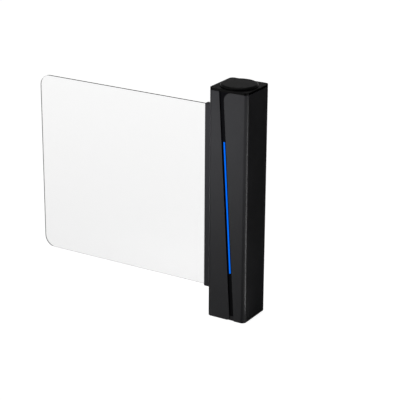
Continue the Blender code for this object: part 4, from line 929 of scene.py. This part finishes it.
# Each fold has the place of its line, its radius, its side and the length of its tail
for x, radius, side, tail in (
    (roll_x, DOOR_ROLL, -1, DOOR_ROLL_TAIL),
    (bend_x, DOOR_RETURN_BEND, 1, DOOR_RETURN - DOOR_RETURN_BEND),
):
    centre = (x, back - radius, 0)
    folded = spin_edges(shape, upright_edge(shape, x), centre, side * math.pi / 2, FOLD_STEPS)
    draw_edges(shape, folded, (0, -tail, 0))
sheet_piece("service_door", shape, "rear_door", DOOR_WALL, THIN_EDGE, "door")

# %% [markdown]
# ## Lock
# A cam lock fills the hole in the door. Its bezel is turned and covers the hole's edge. The plug in the
# middle has a keyway, which is a recess like that of the screws.

# %% Lock
PLUG_RADIUS = 0.006
PLUG_CLEAR = 0.00615
BEZEL_RADIUS = 0.012
HOUSING_RADIUS = 0.0095
KEYWAY_HALF_SIZE = (0.0008, 0.0035)
KEYWAY_DEPTH = 0.004
low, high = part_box("lock_housing")
profile = stepped_ring(PLUG_CLEAR, low.y, HOUSING_RADIUS, back + SEAT_GAP, BEZEL_RADIUS, high.y)
place = (lock.x, 0, lock.z)
turned_piece("lock_bezel", profile, "lock_housing", "door", place=place, upright=False, closed=True)
low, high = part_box("lock_plug")
shape = bmesh.new()
place = facing_back(lock.x, high.y, lock.z)
recessed_head(shape, PLUG_RADIUS, high.y - low.y, rectangle(*KEYWAY_HALF_SIZE), KEYWAY_DEPTH, place)
finished("lock_barrel", shape, "lock_plug", "lock", even=False)

# %% [markdown]
# ## Inside: power supply
# The service door shows the equipment on the chassis. The power supply is a folded sheet case with rows
# of slots for its warm air. The front face is cut along straight lines, and every second cell is inset
# and pushed in, which looks like a hole because it is dark inside.

# %% Power supply
SLOT_MARGIN = 0.0004
SLOT_DEPTH = 0.0015
VENT_ROWS = 14
VENT_MARGIN = 0.010


def steps_between(start, end, count):
    """Evenly spaced places from start to end, both included."""
    return [start + (end - start) * number / count for number in range(count + 1)]


def push_in(shape, y, test, margin, depth):
    """Insets the faces of the plane at y that pass the test, and pushes them in."""
    chosen = [face for face in faces_at(shape, Y, y) if test(face.calc_center_median())]
    bmesh.ops.inset_individual(shape, faces=chosen, thickness=margin, depth=-depth)


def in_gaps(value, places):
    """Whether a value lies in the first, third, fifth and so on of the gaps between places."""
    return any(start < value < end for start, end in zip(places[::2], places[1::2]))


low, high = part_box("power_supply")
shape = soft_box(low, high, BROAD_EDGE)
rows = steps_between(low.z + VENT_MARGIN, high.z - VENT_MARGIN, 2 * VENT_ROWS + 1)
middle_x = (low.x + high.x) / 2
columns = [low.x + VENT_MARGIN + BROAD_EDGE, middle_x - BROAD_EDGE]
columns += [middle_x + BROAD_EDGE, high.x - VENT_MARGIN - BROAD_EDGE]
cut_faces(shape, Y, high.y, X, columns)
cut_faces(shape, Y, high.y, Z, rows)
push_in(shape, high.y, lambda at: in_gaps(at.x, columns) and in_gaps(at.z, rows), SLOT_MARGIN, SLOT_DEPTH)
finished("supply_case_vented", shape, "power_supply")

# %% [markdown]
# ## Inside: terminal block
# Each wire has its own cell with a screw in it. The cells are pushed in like the slots above, and a
# slotted head from the same helper as the socket screws sits in each of them.

# %% Terminal block
TERMINALS = 7
CELL_MARGIN = 0.0008
CELL_DEPTH = 0.006
CELL_SHARE = 0.5
TERMINAL_SCREW_RADIUS = 0.003
TERMINAL_SCREW_HEIGHT = 0.002
TERMINAL_SLOT_HALF_SIZE = (0.0024, 0.0004)
TERMINAL_SLOT_DEPTH = 0.0008
low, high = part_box("terminal_block")
middle_z = (low.z + high.z) / 2
cell_half = (high.z - low.z) * CELL_SHARE / 2
cells = steps_between(low.x + BROAD_EDGE, high.x - BROAD_EDGE, TERMINALS)
shape = soft_box(low, high, BROAD_EDGE)
cut_faces(shape, Y, high.y, X, cells[1:-1])
cut_faces(shape, Y, high.y, Z, (middle_z - cell_half, middle_z + cell_half))
push_in(shape, high.y, lambda at: abs(at.z - middle_z) < cell_half, CELL_MARGIN, CELL_DEPTH)
finished("terminal_strip", shape, "terminal_block")

shape = bmesh.new()
slot = rectangle(*TERMINAL_SLOT_HALF_SIZE)
head_y = high.y - CELL_DEPTH + TERMINAL_SCREW_HEIGHT
for start, end in zip(cells, cells[1:]):
    place = facing_back((start + end) / 2, head_y, middle_z)
    recessed_head(shape, TERMINAL_SCREW_RADIUS, TERMINAL_SCREW_HEIGHT, slot, TERMINAL_SLOT_DEPTH, place)
finished("terminal_screws", shape, "terminal_block", finish="zinc_steel", even=False)

# %% [markdown]
# ## Inside: transformer
# A mains transformer is a stack of steel sheets with a coil through it. The coil stands out of the stack
# at the front and back, between the two collars of its bobbin. Four plain bars give that shape.

# %% Transformer
STACK_SHARE = 0.56
COIL_SHARE = 0.52
COLLAR_THICKNESS = 0.0015
COIL_ROUND = 0.006
COLLAR_ROUND = 0.003
low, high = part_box("transformer")
size = high - low
margin = Vector((0, size.y * (1 - STACK_SHARE) / 2, 0))
stack = soft_box(low + margin, high - margin, BROAD_EDGE)
finished("transformer_stack", stack, "transformer")
margin = Vector((size.x * (1 - COIL_SHARE) / 2, COLLAR_THICKNESS, size.z * (1 - COIL_SHARE) / 2))
coil_low = low + margin
coil_high = high - margin
coil = upright_bar(coil_low, coil_high, COIL_ROUND)
finished("transformer_coil", coil, "transformer", finish="bronze", even=False)
for side, foot in (("lower", coil_low.z - COLLAR_THICKNESS), ("upper", coil_high.z)):
    start = (coil_low.x - COLLAR_THICKNESS, low.y, foot)
    end = (coil_high.x + COLLAR_THICKNESS, high.y, foot + COLLAR_THICKNESS)
    collar = upright_bar(start, end, COLLAR_ROUND)
    finished(f"bobbin_collar_{side}", collar, "transformer", finish="terminal_grey", even=False)

# %% [markdown]
# ## Inside: control board
# The board stands on four spacers. Its parts are laid out by shares of the board's width and height, so
# the layout is easy to change: plugs along the foot, relays above them, then chips and capacitors.

# %% Control board
BOARD_SHEET = 0.0016
BOARD_SPACER = 0.008
SPACER_RADIUS = 0.003
SPACER_INSET = 0.006
CAPACITOR_HEIGHT = 0.0095
CAPACITOR_RADIUS = 0.0045
CAPACITOR_SHARES = [(0.22, 0.75), (0.40, 0.75), (0.58, 0.75), (0.76, 0.75), (0.60, 0.88), (0.78, 0.88)]
# Each block has its middle across and along the board, and its width and length
PLUGS = [(across, 0.13, 0.22, 0.07) for across in (0.24, 0.50, 0.76)]
RELAYS = [(across, 0.32, 0.22, 0.16) for across in (0.27, 0.52, 0.77)]
CHIPS = [(0.34, 0.56, 0.26, 0.13), (0.30, 0.86, 0.2, 0.04)]
CHIPS += [(0.70, along, 0.16, 0.05) for along in (0.52, 0.60)]
# Each kind of block has its name, its places, its height and its finish
BLOCKS = (
    ("board_plugs", PLUGS, 0.008, "terminal_grey"),
    ("board_relays", RELAYS, 0.0104, "reader_plastic"),
    ("board_chips", CHIPS, 0.002, "drive_black"),
)
board_low, board_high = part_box("control_board")
board_size = board_high - board_low
sheet_back = board_low.y + BOARD_SPACER
sheet_front = sheet_back + BOARD_SHEET
low = (board_low.x, sheet_back, board_low.z)
high = (board_high.x, sheet_front, board_high.z)
finished("board_sheet", soft_box(low, high, FINE_EDGE, 2), "control_board")


def on_board(across, along):
    """A place on the board's face from its shares of the width and height."""
    return Vector((board_low.x + board_size.x * across, sheet_front, board_low.z + board_size.z * along))


for name, places, height, finish in BLOCKS:
    shape = bmesh.new()
    for across, along, width, length in places:
        half = Vector((board_size.x * width / 2, 0, board_size.z * length / 2))
        centre = on_board(across, along)
        add_box(shape, centre - half, centre + half + Vector((0, height, 0)))
    soften(shape, THIN_EDGE, 2)
    if name == "board_plugs":
        push_in(shape, sheet_front + height, lambda at: True, CELL_MARGIN, height / 2)
    finished(name, shape, "control_board", finish=finish)


def board_drums(name, places, radius, foot, head, finish, edge=0):
    """Round parts that stand on the board or carry it."""
    shape = bmesh.new()
    for x, z in places:
        profile = [(0, head), (radius, head), (radius, foot), (0, foot)]
        spin_profile(shape, profile, (x, 0, z), upright=False, steps=HOLE_STEPS)
    if edge:
        soften(shape, edge, 2)
    finished(name, shape, "control_board", finish=finish, even=False)


cans = [on_board(*shares).xz for shares in CAPACITOR_SHARES]
can_head = sheet_front + CAPACITOR_HEIGHT
board_drums("board_capacitors", cans, CAPACITOR_RADIUS, sheet_front, can_head, "supply_case", THIN_EDGE)
across = (board_low.x + SPACER_INSET, board_high.x - SPACER_INSET)
along = (board_low.z + SPACER_INSET, board_high.z - SPACER_INSET)
spacers = [(x, z) for x in across for z in along]
board_drums("board_spacers", spacers, SPACER_RADIUS, board_low.y, sheet_back, "zinc_steel")

# %% [markdown]
# ## Inside: motor
# The motor, its gearbox, the brake and the encoder stand in one line on the drive shaft. Each is turned,
# and shallow grooves show where its housing is split. The motor's barrel has cooling ribs, which are a
# comb of points in its profile.

# %% Motor and gearbox
SPLIT_DEPTH = 0.0012
SPLIT_HEIGHT = 0.0016
RIB_HEIGHT = 0.004
RIBS = 12
drive_x = middle_of("drive_shaft").x


def grooved_drum(name, node, heights, depth=SPLIT_DEPTH, groove=SPLIT_HEIGHT, finish=None):
    """A drum on the drive's axis, from the head down, with grooves centred on some heights."""
    low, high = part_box(node)
    radius = (high.y - low.y) / 2
    profile = [(0, high.z), (radius, high.z)]
    for height in sorted(heights, reverse=True):
        for inset, shift in ((0, 1), (1, 1), (1, -1), (0, -1)):
            profile.append((radius - inset * depth, height + shift * groove / 2))
    profile += [(radius, low.z), (0, low.z)]
    turned_piece(name, profile, node, finish=finish, place=(drive_x, 0, 0), edge=FINE_EDGE)


low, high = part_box("motor")
ribs = steps_between(low.z + 3 * RIB_HEIGHT, high.z - 3 * RIB_HEIGHT, RIBS)
grooved_drum("motor_barrel", "motor", ribs, RIB_HEIGHT / 2, RIB_HEIGHT / 2)
# Each housing has the heights of its grooves, as shares of its own, and any finish but its node's
HOUSINGS = {
    "gearbox": ("gearbox_housing", (0.2, 0.6), "cast_aluminium"),
    "brake": ("brake_housing", (0.5,), None),
    "encoder": ("encoder_cap", (0.3,), None),
}
for node, (name, shares, finish) in HOUSINGS.items():
    low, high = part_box(node)
    grooved_drum(name, node, [low.z + (high.z - low.z) * share for share in shares], finish=finish)

# %% [markdown]
# ## Pieces that keep their CAD shape
# The folded chassis, the base plate, the gears and other inner pieces are already right. They only get
# their finish. As with all pieces, each node names its own in the frame's record.

# %% Finishes on the CAD pieces
for node, piece in frame["nodes"].items():
    piece.data.materials.clear()
    piece.data.materials.append(finishes[slots[node]])
print("CAD pieces painted:", len(frame["nodes"]))

# %% [markdown]
# ## Floor and studio
# The gate stands on a plain white floor. To the camera, and in reflections, floor and backdrop are white.
# For soft light they are dimmer, so that the dark covers keep their shading. The floor adds its own
# diffuse part to the glow, and that part is what the gate's shadow takes away. Above the white backdrop
# the studio is dim, so the lid and the polished pieces mirror a calm grey instead of a blank white.

# %% Floor and studio
FLOOR_HALF = 30.0
FLOOR_COLOUR = (0.4, 0.4, 0.4, 1)
FLOOR_GLOW = 0.885
AMBIENT = 0.03
CEILING = 0.14
BACKDROP_TOP = 0.05
CEILING_START = 0.2


def join(node, *sources):
    """Links sources to a node's inputs in their order and gives its output."""
    for source, socket in zip(sources, node.inputs):
        node.id_data.links.new(source, socket)
    return node.outputs[0]


def seen_by(tree, *kinds):
    """A factor of 1 for the given kinds of rays."""
    path = add_node(tree, "LightPath")
    total = path.outputs[f"Is {kinds[0]} Ray"]
    for kind in kinds[1:]:
        most = add_node(tree, "Math")
        most.operation = "MAXIMUM"
        total = join(most, total, path.outputs[f"Is {kind} Ray"])
    return total


def studio_sheet(name, corners, material):
    """A flat sheet that isn't part of the gate."""
    shape = bmesh.new()
    flat_face(shape, corners)
    sheet = to_object(name, shape, material)
    sheet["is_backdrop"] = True
    return sheet


floor = bpy.data.materials.new("floor_white")
floor.use_nodes = True
tree = floor.node_tree
tree.nodes.clear()
strength = spread(tree, seen_by(tree, "Camera", "Glossy", "Transmission"), 0.0, FLOOR_GLOW)
glow = add_node(tree, "Emission", Strength=strength)
diffuse = add_node(tree, "BsdfDiffuse", Color=FLOOR_COLOUR)
both = join(add_node(tree, "AddShader"), diffuse.outputs[0], glow.outputs[0])
add_node(tree, "OutputMaterial", Surface=both)
studio_sheet("floor", [(x, y, 0) for x, y in rectangle(FLOOR_HALF, FLOOR_HALF)], floor)

world = bpy.data.worlds.new("studio")
world.use_nodes = True
bpy.context.scene.world = world
tree = world.node_tree
direction = add_node(tree, "TexCoord").outputs["Generated"]
height = add_node(tree, "SeparateXYZ", Vector=direction).outputs["Z"]
mirrored = spread(tree, height, 1.0, CEILING, BACKDROP_TOP, CEILING_START)
soft = spread(tree, seen_by(tree, "Glossy"), AMBIENT, mirrored)
white = spread(tree, seen_by(tree, "Camera", "Transmission"), soft, 1.0)
fill(tree.nodes["Background"], Color=(1, 1, 1, 1), Strength=white)
print("floor and backdrop are white to the camera")

# %% [markdown]
# ## Lamps, flags and a light card
# A soft key lamp stands close by at the front left, level with the head of the gate, so its light falls
# off towards the foot. A slim light card that leans at the right draws the thin line on the corner.
# Photographers also lay black cloth, called a flag, where a dark side should mirror nothing bright.
# Here one lies on either side behind the gate and one in front, and a slim one stands beside the left
# corner. Only reflections see the flags and the card.

# %% Lamps
# Each lamp has a place, an aim, a side, a power and a spread
LAMPS = {
    "key": ((-0.26, -0.86, 0.84), (-0.03, -0.09, 0.82), 0.4, 3.05, math.radians(130)),
    "rear": ((-0.8, 2.4, 0.9), (0, 0, 0.8), 0.8, 7.0, math.radians(44)),
}
OVERHEAD_LEVEL = 0.34
OVERHEAD_ANGLE = math.radians(50)


def new_lamp(name, kind):
    lamp = bpy.data.objects.new(name, bpy.data.lights.new(name, kind))
    bpy.context.scene.collection.objects.link(lamp)
    return lamp


def hide(item, *kinds):
    """Hides a lamp or a sheet from some kinds of rays."""
    for kind in kinds:
        setattr(item, f"visible_{kind}", False)


for name, (place, aim, side, power, fan) in LAMPS.items():
    lamp = new_lamp(name, "AREA")
    lamp.data.size = side
    lamp.data.energy = power
    lamp.data.spread = fan
    lamp.location = place
    lamp.rotation_euler = (Vector(aim) - Vector(place)).to_track_quat("-Z", "Y").to_euler()
    hide(lamp, "camera", "glossy", "transmission")
overhead = new_lamp("overhead", "SUN")
overhead.data.energy = OVERHEAD_LEVEL * math.pi
overhead.data.angle = OVERHEAD_ANGLE
print("lamps:", len(bpy.data.lights))

# %% Flags and light card
# A place is the reach from the post's corner, and the height
LOW = 0.0005
NEAR = (0.02, LOW)
FAR = (14.0, LOW)
SLIM_FOOT = (0.05, LOW)
SLIM_HEAD = (0.05, POST_HEIGHT)
CARD_FOOT = (0.16, LOW)
CARD_HEAD = (0.85, 0.68)
CARD_COLOUR = (0.8, 0.8, 0.8)
CARD_STRENGTH = 14.0
# Each sheet starts at the post's front right (1) or left (-1) corner. Its foot and its head are given by
# two azimuths in degrees and a place
SHEETS = {
    "flag_right": ("flag_black", 1, (116, 176), NEAR, (116, 176), FAR),
    "flag_left": ("flag_black", -1, (104, 176), NEAR, (104, 176), FAR),
    "flag_front": ("flag_black", 1, (-14, 40), NEAR, (-14, 40), FAR),
    "flag_slim": ("flag_black", -1, (40, 100), SLIM_FOOT, (40, 100), SLIM_HEAD),
    "light_card": ("light_card", 1, (92, 114), CARD_FOOT, (82, 98), CARD_HEAD),
}
new_finish("flag_black", (0, 0, 0), specular=0.0)
_, shader = new_finish("light_card", CARD_COLOUR)
fill(shader, Emission_Color=(1, 1, 1, 1), Emission_Strength=CARD_STRENGTH)


def from_corner(side, azimuth, reach, height):
    """A point at some reach from the post's front right or left corner."""
    angle = math.radians(azimuth)
    return (side * (STRAIGHT + reach * math.sin(angle)), -STRAIGHT - reach * math.cos(angle), height)


for name, (finish, side, foot_fan, foot, head_fan, head) in SHEETS.items():
    corners = [from_corner(side, azimuth, *foot) for azimuth in foot_fan]
    corners += [from_corner(side, azimuth, *head) for azimuth in reversed(head_fan)]
    sheet = studio_sheet(name, corners, finishes[finish])
    hide(sheet, "camera", "diffuse", "transmission", "shadow")
print("sheets that only reflections see:", len(SHEETS))

# %% [markdown]
# ## Size of the dressed gate
# The dressed gate has to fill the same space as the frame. Its visual size is printed.

low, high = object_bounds()
print("visual size in metres:", [round(side, 4) for side in high - low])
